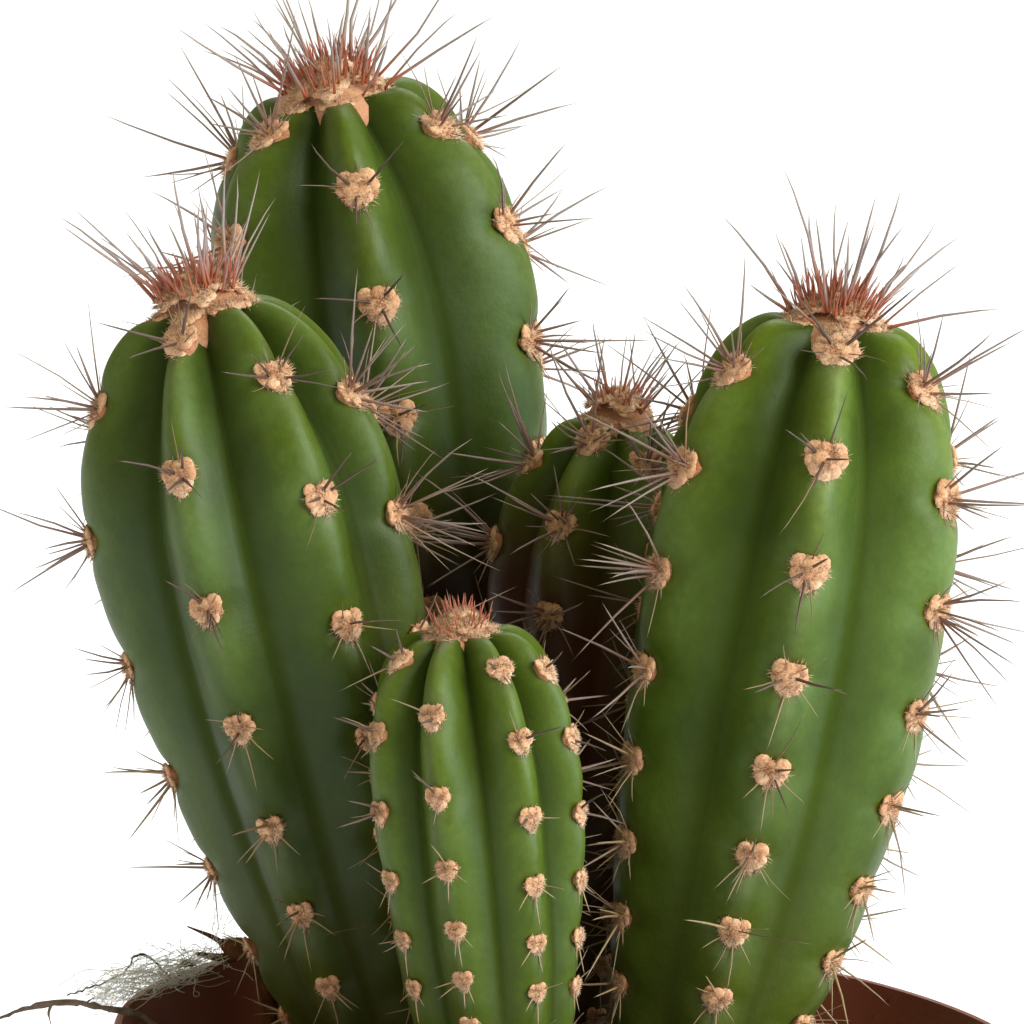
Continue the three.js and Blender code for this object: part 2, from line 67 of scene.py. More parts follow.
bpy.ops.object.camera_add()
camera = bpy.context.object
camera.name = "camera"
camera.data.sensor_width, camera.data.lens = SENSOR, LENS
camera.data.clip_start = NEAREST
camera.matrix_world = Matrix.Translation(CAMERA_PLACE) @ (
    Matrix((LOOK_RIGHT, LOOK_UP, LOOK_BACK)).transposed().to_4x4()
)
bpy.context.scene.camera = camera
print("camera at", [round(x, 3) for x in CAMERA_PLACE])

# %% [markdown]
# ## Floor and light
# The plant was photographed against plain white. A wide pale floor under a pale sky does the same
# and works from every side. The sky looks white to the camera but lights less and warmer, because
# too much light from all round would wash out the clefts between the ribs. The main light is a
# sun as wide as a softbox, from the upper right. It leaves the left flank of every rib in shade,
# draws a long pale streak down its right one, and lights the floor evenly. A weak panel stands at
# the left. A low cool one at the right draws a pale line along the right flanks, and one above
# and behind lights the fringe of spines.

# %% Lay the floor and hang the lights
FLOOR_SIZE = 12
SKY = (1.0, 1.0, 1.0, 1.0)
SKY_LIGHT = (0.37, 0.34, 0.19, 1.0)  # colour and strength of the sky as a light
SUN = dict(place=(1.2, -0.84, 0.95), strength=3.4, width=36, colour=(1.0, 0.985, 0.88))
# name: place in metres, size in metres, power in watts, colour
PANELS = {
    "fill_panel": ((-1.1, -0.8, 0.6), 0.9, 0.8, (1.0, 0.94, 0.80)),
    "strip_panel": ((1.1, -0.3, 0.12), 0.8, 8, (0.6, 0.88, 1.0)),
    "rim_panel": ((0.1, 0.9, 1.2), 0.9, 8, (1.0, 1.0, 1.0)),
}
LIT_POINT = Vector((0, 0, 0.15))


def start_clean():
    """Deselects everything, because operators act on all that is selected."""
    if bpy.context.object and bpy.context.object.mode != "OBJECT":
        bpy.ops.object.mode_set(mode="OBJECT")
    bpy.ops.object.select_all(action="DESELECT")


start_clean()
bpy.ops.mesh.primitive_plane_add(size=FLOOR_SIZE)
floor = bpy.context.object
floor.name = "floor"


def hang(name, kind, place, power, colour):
    """A light at a place, turned towards the plant."""
    bpy.ops.object.light_add(type=kind, location=place)
    lamp = bpy.context.object
    lamp.name = name
    lamp.data.energy = power
    lamp.data.color = colour
    lamp.rotation_euler = (LIT_POINT - Vector(place)).to_track_quat("-Z", "Y").to_euler()
    return lamp.data


sun = hang("key_sun", "SUN", SUN["place"], SUN["strength"], SUN["colour"])
sun.angle = math.radians(SUN["width"])
for name, (place, size, power, colour) in PANELS.items():
    hang(name, "AREA", place, power, colour).size = size

sky = bpy.data.worlds.new("pale_sky")
sky.use_nodes = True
backdrop = sky.node_tree.nodes["Background"].inputs
ray = sky.node_tree.nodes.new("ShaderNodeLightPath")
seen = sky.node_tree.nodes.new("ShaderNodeMix")
seen.data_type = "RGBA"
seen.inputs[6].default_value, seen.inputs[7].default_value = SKY_LIGHT, SKY
sky.node_tree.links.new(ray.outputs["Is Camera Ray"], seen.inputs[0])
sky.node_tree.links.new(seen.outputs[2], backdrop["Color"])
bpy.context.scene.world = sky
bpy.context.scene.view_settings.view_transform = "Standard"
print("lights: key_sun and", list(PANELS))

# %% [markdown]
# ## How a finish is mixed
# Every finish here is a Principled shader fed by a few nodes: noise for the blotches of a living
# surface, attributes that the meshes carry for colours that follow the form, and a bump for grain
# too fine to model. A small helper adds a node and joins it in one line, so a recipe reads from
# top to bottom. Numbers that are the same all over a surface are set on the shader itself.


# %% A recipe book for finishes
class Finish:
    """A material and short ways to add nodes to it."""

    def __init__(self, name, **constants):
        self.material = bpy.data.materials.new(name)
        self.material.use_nodes = True
        self.tree = self.material.node_tree
        self.shader = self.tree.nodes["Principled BSDF"]
        for socket, value in constants.items():
            self.shader.inputs[socket.replace("_", " ")].default_value = value

    def node(self, kind, inputs, output=0, **settings):
        made = self.tree.nodes.new(kind)
        for setting, value in settings.items():
            setattr(made, setting, value)
        for socket, value in inputs.items():
            self.join(made.inputs[socket], value)
        return made.outputs[output]

    def join(self, socket, value):
        if isinstance(value, bpy.types.NodeSocket):
            self.tree.links.new(value, socket)
        else:
            socket.default_value = value

    def place(self):
        return self.node("ShaderNodeTexCoord", {}, "Object")

    def carried(self, name):
        return self.node("ShaderNodeAttribute", {}, "Fac", attribute_name=name)

    def noise(self, scale, detail=3, roughness=0.55, stretch=None):
        where = self.place()
        if stretch:
            where = self.node("ShaderNodeMapping", {"Vector": where, "Scale": stretch})
        inputs = {"Vector": where, "Scale": scale, "Detail": detail, "Roughness": roughness}
        return self.node("ShaderNodeTexNoise", inputs, "Fac")

    def math(self, operation, a, b=0.0):
        return self.node("ShaderNodeMath", {0: a, 1: b}, operation=operation)

    def span(self, value, low, high, to_low=0.0, to_high=1.0):
        """Turns values between low and high into 0 to 1, or into the last two numbers."""
        inputs = {0: value, 1: low, 2: high, 3: to_low, 4: to_high}
        return self.node("ShaderNodeMapRange", inputs, clamp=True)

    def mix(self, share, first, second, blend="MIX"):
        first, second = (
            (*c, 1.0) if isinstance(c, tuple) and len(c) == 3 else c for c in (first, second)
        )
        inputs = {0: share, 6: first, 7: second}
        return self.node("ShaderNodeMix", inputs, 2, data_type="RGBA", blend_type=blend)

    def bump(self, height, distance, strength=1.0, below=None):
        inputs = {"Height": height, "Distance": distance, "Strength": strength}
        if below is not None:
            inputs["Normal"] = below
        return self.node("ShaderNodeBump", inputs)

    def done(self, **sockets):
        for socket, value in sockets.items():
            self.join(self.shader.inputs[socket.replace("_", " ")], value)
        return self.material


paper = Finish(
    "pale_floor",
    Roughness=0.9,
    Specular_IOR_Level=0.1,
    Emission_Color=(0.80, 0.87, 1.0, 1.0),
    Emission_Strength=0.42,
)
paper_tone = paper.mix(paper.noise(3), (0.84, 0.86, 0.95), (0.87, 0.89, 0.98))
floor.data.materials.append(paper.done(Base_Color=paper_tone))
print("floor is", floor.data.materials[0].name)

# %% [markdown]
# ## Skin
# The skin of this cactus is a waxy green: darker and bluer on the old flanks, brighter and more
# yellow on young growth, corky brown close to the soil. Light and shade are painted into it too: a
# painted highlight makes the crests near the tip lighter and yellower, pale bluish patches near
# the upper crests are a painted sheen together with the waxy bloom, a pale streak under each
# areole is a painted highlight, and painted shade darkens the skin into the clefts. Light goes a
# little way in, so the shader scatters under the surface. The meshes will carry attributes for it:
# how far down the stem a point is, how far from the crest towards the cleft, how near to an
# areole, how young the stem is, a number for each stem's colour that is partly its own tone and
# partly painted light and shade, the painted highlight under each areole, and how deep inside the
# clump it is, where the skin is painted darker and browner: painted shade with some browning.

# %% Mix the skin
skin = Finish(
    "cactus_skin",
    IOR=1.38,
    Specular_IOR_Level=0.38,
    Specular_Tint=(0.82, 0.97, 1.0, 1),
    Subsurface_Weight=0.1,
    Subsurface_Radius=(0.5, 1.0, 0.2),
    Subsurface_Scale=0.0015,
    Coat_Weight=0.05,
    Coat_IOR=1.4,
    Coat_Roughness=0.42,
)
down, across = skin.carried("down"), skin.carried("across")
near, young = skin.carried("near_areole"), skin.carried("young")
blotches = skin.noise(75, 4, 0.6)
mottle = skin.noise(900, 3, 0.6)
grain = skin.noise(4200, 2, 0.5)
green = skin.mix(skin.span(blotches, 0.35, 0.68), (0.036, 0.062, 0.003), (0.068, 0.112, 0.008))
green = skin.mix(skin.span(young, 0, 1, 0, 0.65), green, (0.124, 0.196, 0.004))
# Painted highlight: the crests near the tip are made lighter and yellower, as if lit from above.
painted_crest_highlight = skin.math("MULTIPLY", skin.span(down, 0.45, 0.0), skin.span(across, 0.6, 0.05))
green = skin.mix(skin.math("MULTIPLY", painted_crest_highlight, 0.55), green, (0.165, 0.235, 0.016))
# Pale bluish-green patches near the upper crests: waxy bloom together with a painted sheen.
bloom_and_sheen = skin.math("MULTIPLY", skin.span(across, 0.6, 0.15), skin.span(down, 0.75, 0.05))
bloom_and_sheen = skin.math("MULTIPLY", bloom_and_sheen, skin.span(blotches, 0.42, 0.7, 0.0, 0.42))
green = skin.mix(bloom_and_sheen, green, (0.130, 0.205, 0.100))
# Painted shade: the skin darkens from the crest down into the cleft.
green = skin.mix(skin.span(across, 0.42, 0.95, 0, 0.7), green, (0.022, 0.036, 0.001))
# Painted highlight: a pale streak down the rib under each areole.
green = skin.mix(skin.span(skin.carried("painted_highlight_streak"), 0.1, 1, 0, 0.7), green, (0.215, 0.265, 0.130))
green = skin.mix(skin.span(near, 0.35, 1, 0, 0.5), green, (0.130, 0.125, 0.020))
old = skin.math("MULTIPLY", skin.span(down, 0.45, 1.05), skin.span(blotches, 0.3, 0.7, 0.25, 0.9))
green = skin.mix(old, green, (0.066, 0.062, 0.008))
green = skin.mix(skin.span(mottle, 0.3, 0.75, 0, 0.28), green, (0.018, 0.036, 0.003))
# Painted shade with some browning: the skin turns dark brown deep inside the clump.
green = skin.mix(skin.carried("inner"), green, (0.050, 0.011, 0.005))
# Each stem's colour is multiplied by its own number: partly its own tone, partly painted light and
# shade.
green = skin.mix(1.0, green, skin.carried("tone_and_painted_light"), "MULTIPLY")
satin = skin.span(blotches, 0.3, 0.7, 0.4, 0.52)
gloss = skin.math("MAXIMUM", satin, skin.span(across, 0.65, 0.95))
relief = skin.bump(mottle, 0.00012, 0.5)
relief = skin.bump(grain, 0.00003, 0.5, relief)
skin_finish = skin.done(Base_Color=green, Roughness=gloss, Normal=relief)
print("mixed", skin_finish.name)

# %% [markdown]
# ## Felt, spines and wool
# An areole is a cushion of short felt, peach to tan, paler at its lower end and darker in the
# pits where spines come out. Spines are dark grey-brown with a redder foot, and the thin ones
# that lie close to the skin are straw-coloured. Young spines at the tips are red-brown below and
# grey above, and the shortest ones are red all along. So one spine finish serves all of them, led
# by the place along the spine and a tone per spine.

# %% Mix felt and spines
felt = Finish(
    "areole_felt",
    Roughness=0.95,
    Specular_IOR_Level=0.15,
    Sheen_Weight=0.35,
    Sheen_Roughness=0.6,
    Sheen_Tint=(1.0, 0.85, 0.72, 1),
    Subsurface_Weight=0.25,
    Subsurface_Radius=(1.0, 0.5, 0.3),
    Subsurface_Scale=0.0008,
)
tufts = felt.noise(1500, 3, 0.65)
tan = felt.mix(felt.span(tufts, 0.35, 0.65), (0.66, 0.330, 0.178), (0.90, 0.560, 0.362))
tan = felt.mix(felt.span(felt.carried("low_end"), 0.1, 1.0, 0, 0.6), tan, (0.90, 0.650, 0.490))
tan = felt.mix(felt.carried("tone"), tan, (0.40, 0.130, 0.055))
felt_relief = felt.bump(felt.noise(2600, 3, 0.7), 0.0003, 0.9)
felt_finish = felt.done(Base_Color=tan, Normal=felt_relief)

horn = Finish("spine_horn", Roughness=0.48, IOR=1.5, Subsurface_Weight=0.1)
horn.shader.inputs["Subsurface Scale"].default_value = 0.0003
along, tone, crown_share = (horn.carried(n) for n in ("along", "tone", "from_crown"))
shade = horn.mix(horn.span(along, 0.0, 0.45), (0.225, 0.082, 0.056), (0.255, 0.190, 0.180))
shade = horn.mix(horn.span(along, 0.6, 1.0, 0, 0.5), shade, (0.36, 0.30, 0.28))
straw = horn.mix(along, (0.42, 0.265, 0.125), (0.34, 0.270, 0.170))
shade = horn.mix(horn.span(crown_share, 0, -0.5, 0, 0.8), shade, (0.050, 0.026, 0.022))
shade = horn.mix(tone, shade, straw)
greyed = horn.math("MULTIPLY", horn.span(along, 0.03, 0.42), horn.span(tone, 0, 1, 1, 0.2))
fresh = horn.mix(greyed, (0.43, 0.095, 0.032), (0.34, 0.270, 0.265))
shade = horn.mix(crown_share, shade, fresh)
shade = horn.mix(horn.span(horn.noise(1800), 0.35, 0.8, 0, 0.25), shade, (0.045, 0.024, 0.018))
horn_finish = horn.done(Base_Color=shade, Normal=horn.bump(horn.noise(2500), 0.00005, 0.5))
print("mixed", felt_finish.name, "and", horn_finish.name)

# %% [markdown]
# ## The form of a stem
# A stem is described by few numbers, the same ones as in the measured solids: the tip, the foot
# and the bow of its centre line, the radius over the ribs, the length of the rounded top, and for
# each rib its bearing and how far its first areole has slid down. The ribs listed as bare have
# lost half of their spines. Shade says how far the skin is painted darker and browner where the
# stems crowd together: painted shade, with some browning. One more number per stem multiplies its
# skin colour: partly its own tone, partly painted light and shade. Everything that grows on a stem
# asks the functions below where the skin is, so nothing has to be fitted by eye.

# %% The stems' dimensions
SOIL_LEVEL = 83
ROOT_DEPTH = 20
# Per stem, one number multiplies the skin colour: partly its own tone, partly painted light and
# shade.
STEMS = {
    "right": dict(
        tip=(25.8, -5, 194.1), foot=(11.3, -7), bow=(2.2, 0), crest=20.9, neck=6.8,
        taper=2.1, dome=32, shape=2.2, twist=-2,
        ribs=((0.3, -0.45), (57, -0.15), (120, 0.7), (180, 0.1), (240, 0.55), (300.5, -0.1)),
        clefts={0: 0.36, 5: 0.59},
        first=8.9, step=16.2, shrink=0.091, least=8, half=2.65, spine=11.5,
        young=0.0, seed=11, tone_and_painted_light=1.24, shade=0.0, bare=(0,),
    ),
    "front_left": dict(
        tip=(-54.1, 0, 190.9), foot=(-19.1, -5), bow=(-1.2, 1), crest=20.8, neck=7.4,
        taper=1.64, dome=28, shape=1.85, twist=-7.3,
        ribs=(
            (-17.4, -0.18), (32, 0.23), (67, 0.56), (124, 0.85), (176, 0.15), (229, 0.7),
            (281, 0.27),
        ),
        clefts={0: 0.36, 6: 0.68},
        first=6.8, step=20.7, shrink=0.135, least=8, half=2.3, spine=11.5,
        young=0.0, seed=12, tone_and_painted_light=0.92, shade=1.7, bare=(0, 1),
    ),
    "back_left_tall": dict(
        tip=(-40.4, 49, 212), foot=(-11.7, 36), bow=(0.7, 5.5), crest=23.5, neck=9.8,
        taper=1.16, dome=31.2, shape=2.13, twist=-7.2,
        ribs=((7.2, 0.78), (66, 0.42), (121, 0.8), (182, 0.15), (242, 0.6), (309.5, 0.17)),
        clefts={0: 0.4, 5: 0.6},
        first=1.3, step=20.5, shrink=0.136, least=8, half=2.7, spine=12,
        young=0.1, seed=13, tone_and_painted_light=0.86, shade=2.0, bare=(0,),
    ),
    "back_centre": dict(
        tip=(-0.3, 21, 176.6), foot=(-5, 14), bow=(0, 2), crest=14.3, neck=9.8,
        taper=1, dome=19.5, shape=1.6, twist=3,
        ribs=((-27.5, 0), (31, 0.2), (93, 0.65), (152, 0.1), (212, 0.8), (273, 0.42)),
        clefts={},
        first=4, step=14.3, shrink=0.12, least=7, half=2.1, spine=9.5,
        young=0.0, seed=14, tone_and_painted_light=1.3, shade=1.3, bare=(),
    ),
    "front_centre": dict(
        tip=(-18.7, -27, 155.5), foot=(-8.7, -29), bow=(0.2, 0), crest=14.3, neck=6.2,
        taper=1.35, dome=21.3, shape=2.74, twist=8.4,
        ribs=(
            (-19, -0.49), (27, -0.07), (65, 0.07), (124, 0.8), (180, 0.1), (236, 0.6),
            (302.5, -0.23),
        ),
        clefts={},
        first=4.4, step=11.9, shrink=0.147, least=6, half=1.6, spine=6.5,
        young=0.7, seed=15, tone_and_painted_light=0.82, shade=1.2, bare=(0, 1, 2, 6),
    ),
}


def add_centre_line(stem):
    """Adds the stem's curved centre line as points, with the distance of each from the tip."""
    tip = np.array(stem["tip"], float)
    foot = np.array((*stem["foot"], SOIL_LEVEL), float)
    pull = 2 * np.array((*stem["bow"], 0.0))
    control = (tip + foot) / 2 + pull
    t = np.linspace(0, 1, 400)[:, None]
    stem["line"] = tip * (1 - t) ** 2 + 2 * control * t * (1 - t) + foot * t**2
    walked = np.linalg.norm(np.diff(stem["line"], axis=0), axis=1)
    stem["walked"] = np.concatenate([[0], np.cumsum(walked)])
    stem["length"] = stem["walked"][-1]


for name, stem in STEMS.items():
    stem["name"] = name
    add_centre_line(stem)
    print(name, "is", round(stem["length"], 1), "mm long above the soil")

# %% [markdown]
# The next functions place a point on the skin. The radius over the ribs is a blunt dome that runs
# into a slow taper. Between the ribs the skin is cut back. Near the tip the ribs are round lobes
# with sharp clefts between them. Further down they are wide, shallow waves, because a rib spreads
# as the stem swells with age. A cleft lies midway between its ribs, unless the stem's clefts say
# otherwise.

# %% Where the skin is
RIB = dict(tip_depth=0.5, low_depth=0.08, fade=22, round=0.28, bend=0.68, lobe_fade=40)


def unit(vectors):
    return vectors / np.linalg.norm(vectors, axis=-1, keepdims=True)


def along_line(stem, below):
    """Centre, upward, right and front directions at distances below the tip."""
    below = np.asarray(below, float)
    held = np.clip(below, 0, stem["length"])
    line, walked = stem["line"], stem["walked"]
    at = lambda s: np.stack([np.interp(s, walked, line[:, i]) for i in range(3)], -1)
    half_step = 0.4
    high = np.clip(held - half_step, 0, stem["length"])
    low = np.clip(held + half_step, 0, stem["length"])
    up = unit(at(high) - at(low))
    centre = at(held) + up * (held - below)[..., None]
    right = np.array((1.0, 0, 0)) - up * up[..., :1]
    right = unit(right)
    return centre, up, right, np.cross(right, up)


def crest_radius(stem, below):
    """Radius over the ribs: a blunt dome, then a slow taper, then the buried root."""
    below = np.maximum(np.asarray(below, float), 0)
    rise = np.clip(1 - below / stem["dome"], 0, 1)
    dome = stem["crest"] * (1 - rise ** stem["shape"]) ** (1 / stem["shape"])
    share = np.clip((below - stem["dome"]) / (stem["length"] - stem["dome"]), 0, 1)
    taper = stem["crest"] - (stem["crest"] - stem["neck"]) * share ** stem["taper"]
    buried = np.clip((below - stem["length"]) / ROOT_DEPTH, 0, 1)
    return np.where(below < stem["dome"], dome, taper) * (1 - 0.6 * buried**2)


def crest_slope(stem, below):
    """How fast the radius grows with the distance below the tip."""
    step = 0.05
    low = np.maximum(below - step, 0)
    return (crest_radius(stem, below + step) - crest_radius(stem, low)) / (below + step - low)


def rib_cut(below, across):
    """Share of the radius that is missing beside a crest: 0 on it, most in the cleft."""
    below = np.maximum(below, 0)
    depth = RIB["low_depth"] + (RIB["tip_depth"] - RIB["low_depth"]) * np.exp(-below / RIB["fade"])
    bend = lambda place: (place**2 + RIB["round"] ** 2) ** RIB["bend"]
    lobe = (bend(across) - bend(0)) / (bend(1) - bend(0))
    furrow = np.sin(math.pi / 2 * across) ** 2
    return depth * (furrow + (lobe - furrow) * np.exp(-below / RIB["lobe_fade"]))


def skin_point(stem, below, azimuth, radius, lift=0.0):
    """A point round the centre line, raised along the crest's outward direction by lift."""
    centre, up, right, front = along_line(stem, below)
    turn = np.radians(azimuth + stem["twist"] * np.asarray(below) / stem["length"])
    radial = right * np.sin(turn)[..., None] + front * np.cos(turn)[..., None]
    slope = np.clip(crest_slope(stem, np.asarray(below, float)), -1, 40)[..., None]
    out = unit(radial + up * slope)
    return centre + radial * np.asarray(radius)[..., None] + out * np.asarray(lift)[..., None]


print("skin functions are ready")

# %% [markdown]
# Areoles sit on the crest of a rib, wide apart at the shoulder and closer towards the soil. Each
# one lies in a notch, and the rib bulges between two of them, most of all between the woolly tip
# and the first. That gives the scalloped outline of every rib. Near the tip the surface runs
# almost level, so the way is measured along the crest there, and not straight down.

# %% Where the areoles are, and how the rib swells round them
FROM_SOIL = 7
CROWN_SHARE = 0.36  # radius of the woolly tip, as a share of the stem's crest radius
BULGE = 0.95
NOTCH = 0.9
NOTCH_LENGTH = 2.3
FULL_GAP = 12
FIRST_BULGE = 2.1  # how much more it is between the woolly tip and the first areole
SETTLE = 0.4
WOOL_SHARE = 0.28  # radius of the wool that shows between the ribs, as a share of the crest radius


def areole_places(stem, drop):
    """Distances below the tip of one rib's areoles."""
    places, below = [], stem["first"]
    while below < stem["length"] - FROM_SOIL - stem["least"]:
        young = 1 - 0.45 * math.exp(-below / (0.4 * stem["crest"]))
        gap = max(stem["step"] * young - stem["shrink"] * below, stem["least"])
        places.append(below + drop * gap)
        below += gap
    return np.array(places)


def along_crest(stem, below):
    """Way along a crest from the tip to places at distances below it."""
    fine = np.linspace(0, stem["length"] + ROOT_DEPTH, 6000)
    walked = np.cumsum(np.hypot(np.diff(fine), np.diff(crest_radius(stem, fine))))
    return np.interp(below, fine, np.concatenate([[0], walked]))


def rib_swell(stem, below, across, half_width, places):
    """How far the skin stands out between the areoles of its rib, and sinks under them."""
    walked, marks = along_crest(stem, below), along_crest(stem, places)
    pad = WOOL_SHARE * stem["crest"]
    marks = np.concatenate([[pad], marks, [2 * marks[-1] - marks[-2], marks[-1] + 400]])
    index = np.clip(np.searchsorted(marks, walked), 1, len(marks) - 1)
    gap = marks[index] - marks[index - 1]
    since, until = np.maximum(walked - marks[index - 1], 0), marks[index] - walked
    bulge = BULGE * np.sin(math.pi * np.clip(since / gap, 0, 1) ** 0.8) ** 0.8
    bulge = bulge * np.where(index < len(marks) - 1, np.clip(gap / FULL_GAP, 0.3, 1), 0)
    bulge = bulge * np.where(index == 1, FIRST_BULGE, 1)
    dips = np.exp(-((since / NOTCH_LENGTH) ** 2)) + np.exp(-((until / NOTCH_LENGTH) ** 2))
    size = (stem["half"] / 2.8) ** 1.6
    fade = np.clip(1.2 - 0.5 * below / stem["length"], 0.3, 1) * np.clip(walked / pad, 0, 1)
    side = np.exp(-((across * half_width / (4.2 * size**0.5)) ** 2)) * (1 - across**2)
    return size * fade * side * (bulge - NOTCH * dips - SETTLE)


for name, stem in STEMS.items():
    stem["places"] = [areole_places(stem, drop) for _, drop in stem["ribs"]]
    print(name, "has", sum(len(p) for p in stem["places"]), "areoles on", len(stem["ribs"]), "ribs")

# %% [markdown]
# ## Growing the skin
# The skin is one closed surface, so it starts as a ball: a UV sphere whose segments become the
# columns of the ribs and whose rings become the rows from tip to root. Its points are then pulled
# to their places on the stem, as one would pull clay over a core. A grid bent round would need a
# seam, and lofting between outlines would blur the areole notches.

# %% Pull a ball into each stem
COLUMNS = {6: 28, 7: 24}  # columns for each rib, by the number of ribs
ROWS = {"right": 250, "front_left": 250, "back_left_tall": 250}
SMALL_ROWS = 170
DIMPLE = 1.8


def new_ball(name, segments, rings):
    """A ball of radius 1, to be pulled into shape or copied."""
    start_clean()
    bpy.ops.mesh.primitive_uv_sphere_add(segments=segments, ring_count=rings, radius=1)
    ball = bpy.context.object
    ball.name = ball.data.name = name
    return ball


def read_points(piece):
    points = np.empty(3 * len(piece.data.vertices))
    piece.data.vertices.foreach_get("co", points)
    return points.reshape(-1, 3) / MM


def write_points(piece, points):
    piece.data.vertices.foreach_set("co", (points * MM).ravel())
    piece.data.update()


def carry(piece, name, values):
    """Stores one number for each point of a piece, for its finish to read."""
    layer = piece.data.attributes.new(name, "FLOAT", "POINT")
    layer.data.foreach_set("value", np.asarray(values, np.float32).ravel())


def dress(piece, finish, slot, *nodes):
    """Gives a piece its material and its body and hides the nodes it stands for; slot is not used.
    """
    piece.data.materials.clear()
    piece.data.materials.append(finish)
    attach(piece, "root")
    if nodes:
        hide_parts(*nodes)
    return piece


def row_places(stem, rows):
    """Distances below the tip of the rows, even along the surface and sparse in the soil."""
    fine = np.linspace(0, stem["length"] + ROOT_DEPTH, 6000)
    step = np.hypot(np.diff(fine), np.diff(crest_radius(stem, fine)))
    step[fine[1:] > stem["length"] + 1] *= 0.2
    walked = np.concatenate([[0], np.cumsum(step)])
    return np.interp(np.linspace(0, walked[-1], rows + 1), walked, fine)


def ripple(stem, below, azimuth):
    """Slow unevenness of a grown surface, the same on both sides of every seam."""
    turn, seed = np.radians(azimuth), stem["seed"]
    waves = np.sin(3 * turn + 0.11 * below + seed) * np.cos(0.17 * below + 2 * seed)
    waves += 0.6 * np.sin(5 * turn - 0.23 * below + 3 * seed)
    waves += 0.35 * np.sin(11 * turn + 0.41 * below) * np.sin(0.6 * below + seed)
    return 0.16 * waves * np.clip(below / 12, 0, 1)


CLUMP = (-12, 14)  # where the middle of the clump stands
CLUMP_REACH = 21  # how far round it the skin is painted darker and browner: painted shade with some browning
CLUMP_TOP, CLUMP_FADE = 168, 20  # the height where the painted shade and browning end, and over how much they fade


def grow_skin(stem):
    ribs = stem["ribs"]
    per_rib = COLUMNS[len(ribs)]
    rows = ROWS.get(stem["name"], SMALL_ROWS)
    piece = new_ball("skin_" + stem["name"], per_rib * len(ribs), rows)
    ball = read_points(piece) * MM
    ring = np.rint(np.arccos(np.clip(ball[:, 2], -1, 1)) / math.pi * rows).astype(int)
    turn = np.arctan2(ball[:, 0], -ball[:, 1]) / (2 * math.pi) * per_rib * len(ribs)
    column = np.rint(turn).astype(int) % (per_rib * len(ribs))
    below = row_places(stem, rows)[ring]
    rib, place = column // per_rib, column % per_rib / per_rib * 2 - 1

    bearing = np.array([azimuth for azimuth, _ in ribs], float)
    gap = (np.roll(bearing, -1) - bearing) % 360
    cleft = np.array([stem["clefts"].get(i, 0.5) for i in range(len(ribs))])
    to_next, to_last = gap * cleft, np.roll(gap * (1 - cleft), 1)
    reach = np.where(place < 0, to_last[rib], to_next[rib])
    azimuth = bearing[rib] + place * reach
    crest = crest_radius(stem, below)
    radius = crest * (1 - rib_cut(below, place))
    half_width = np.radians(reach) * crest
    lift = ripple(stem, below, azimuth)
    nearest, since = np.full(len(below), 99.0), np.full(len(below), 99.0)
    for i, places in enumerate(stem["places"]):
        own = rib == i
        lift[own] += rib_swell(stem, below[own], place[own], half_width[own], places)
        gaps = np.abs(below[own][:, None] - places).min(1)
        nearest[own] = np.hypot(gaps, place[own] * half_width[own])
        past = below[own][:, None] - places
        since[own] = np.where(past > 0, past, 99).min(1)
    lift -= DIMPLE * np.exp(-((crest / 3.5) ** 2)) * (below < stem["dome"])
    points = skin_point(stem, below, azimuth, radius, lift)
    write_points(piece, points)
    piece.data.shade_smooth()
    aside = place * half_width / (0.55 * stem["half"])
    inward = np.hypot(points[:, 0] - CLUMP[0], points[:, 1] - CLUMP[1]) / CLUMP_REACH
    sunk = np.clip((CLUMP_TOP - points[:, 2]) / CLUMP_FADE, 0, 1) * stem["shade"]
    looks = dict(
        down=below / stem["length"],
        across=np.abs(place),
        near_areole=np.exp(-((nearest / (1.35 * stem["half"])) ** 2)),
        young=np.full(len(below), stem["young"]),
        # partly the stem's own tone, partly painted light and shade
        tone_and_painted_light=np.full(len(below), stem["tone_and_painted_light"]),
        # the pale streak under each areole is a painted highlight
        painted_highlight_streak=np.exp(-(aside**2)) * np.exp(-since / (2.2 * stem["half"])),
        # how deep in the clump a point is: painted shade with some browning
        inner=np.minimum(np.exp(-(inward**2)) * sunk, 0.95),
    )
    for label, values in looks.items():
        carry(piece, label, values)
    return dress(piece, skin_finish, "cactus_skin", "stem_" + stem["name"])


for stem in STEMS.values():
    piece = grow_skin(stem)
    print(piece.name, len(piece.data.polygons), "faces")

# %% [markdown]
# ## Patterns to copy
# Hundreds of cushions, felt hairs and spines repeat on this plant. Each kind is modelled once,
# with few faces because there are so many of them, and copied with its own size, lean, bend and
# lumps. A spine is a pentagon drawn out in four steps to a point. It has a thick foot, as real
# spines swell where they leave the felt.

# %% Model one spine, one hair and one cushion
SPINE_RINGS = ((0.05, 0.80), (0.45, 0.62), (0.80, 0.36))  # place along it, share of the foot radius


def start_disc(sides, radius):
    """A disc that faces down, open for editing."""
    start_clean()
    bpy.ops.mesh.primitive_circle_add(vertices=sides, radius=radius, fill_type="NGON")
    bpy.ops.object.mode_set(mode="EDIT")
    bpy.ops.mesh.select_all(action="SELECT")
    bpy.ops.mesh.flip_normals()
    return bpy.context.object


def close_mesh():
    """Turns all faces outwards and ends editing."""
    bpy.ops.mesh.select_all(action="SELECT")
    bpy.ops.mesh.normals_make_consistent(inside=False)
    bpy.ops.object.mode_set(mode="OBJECT")


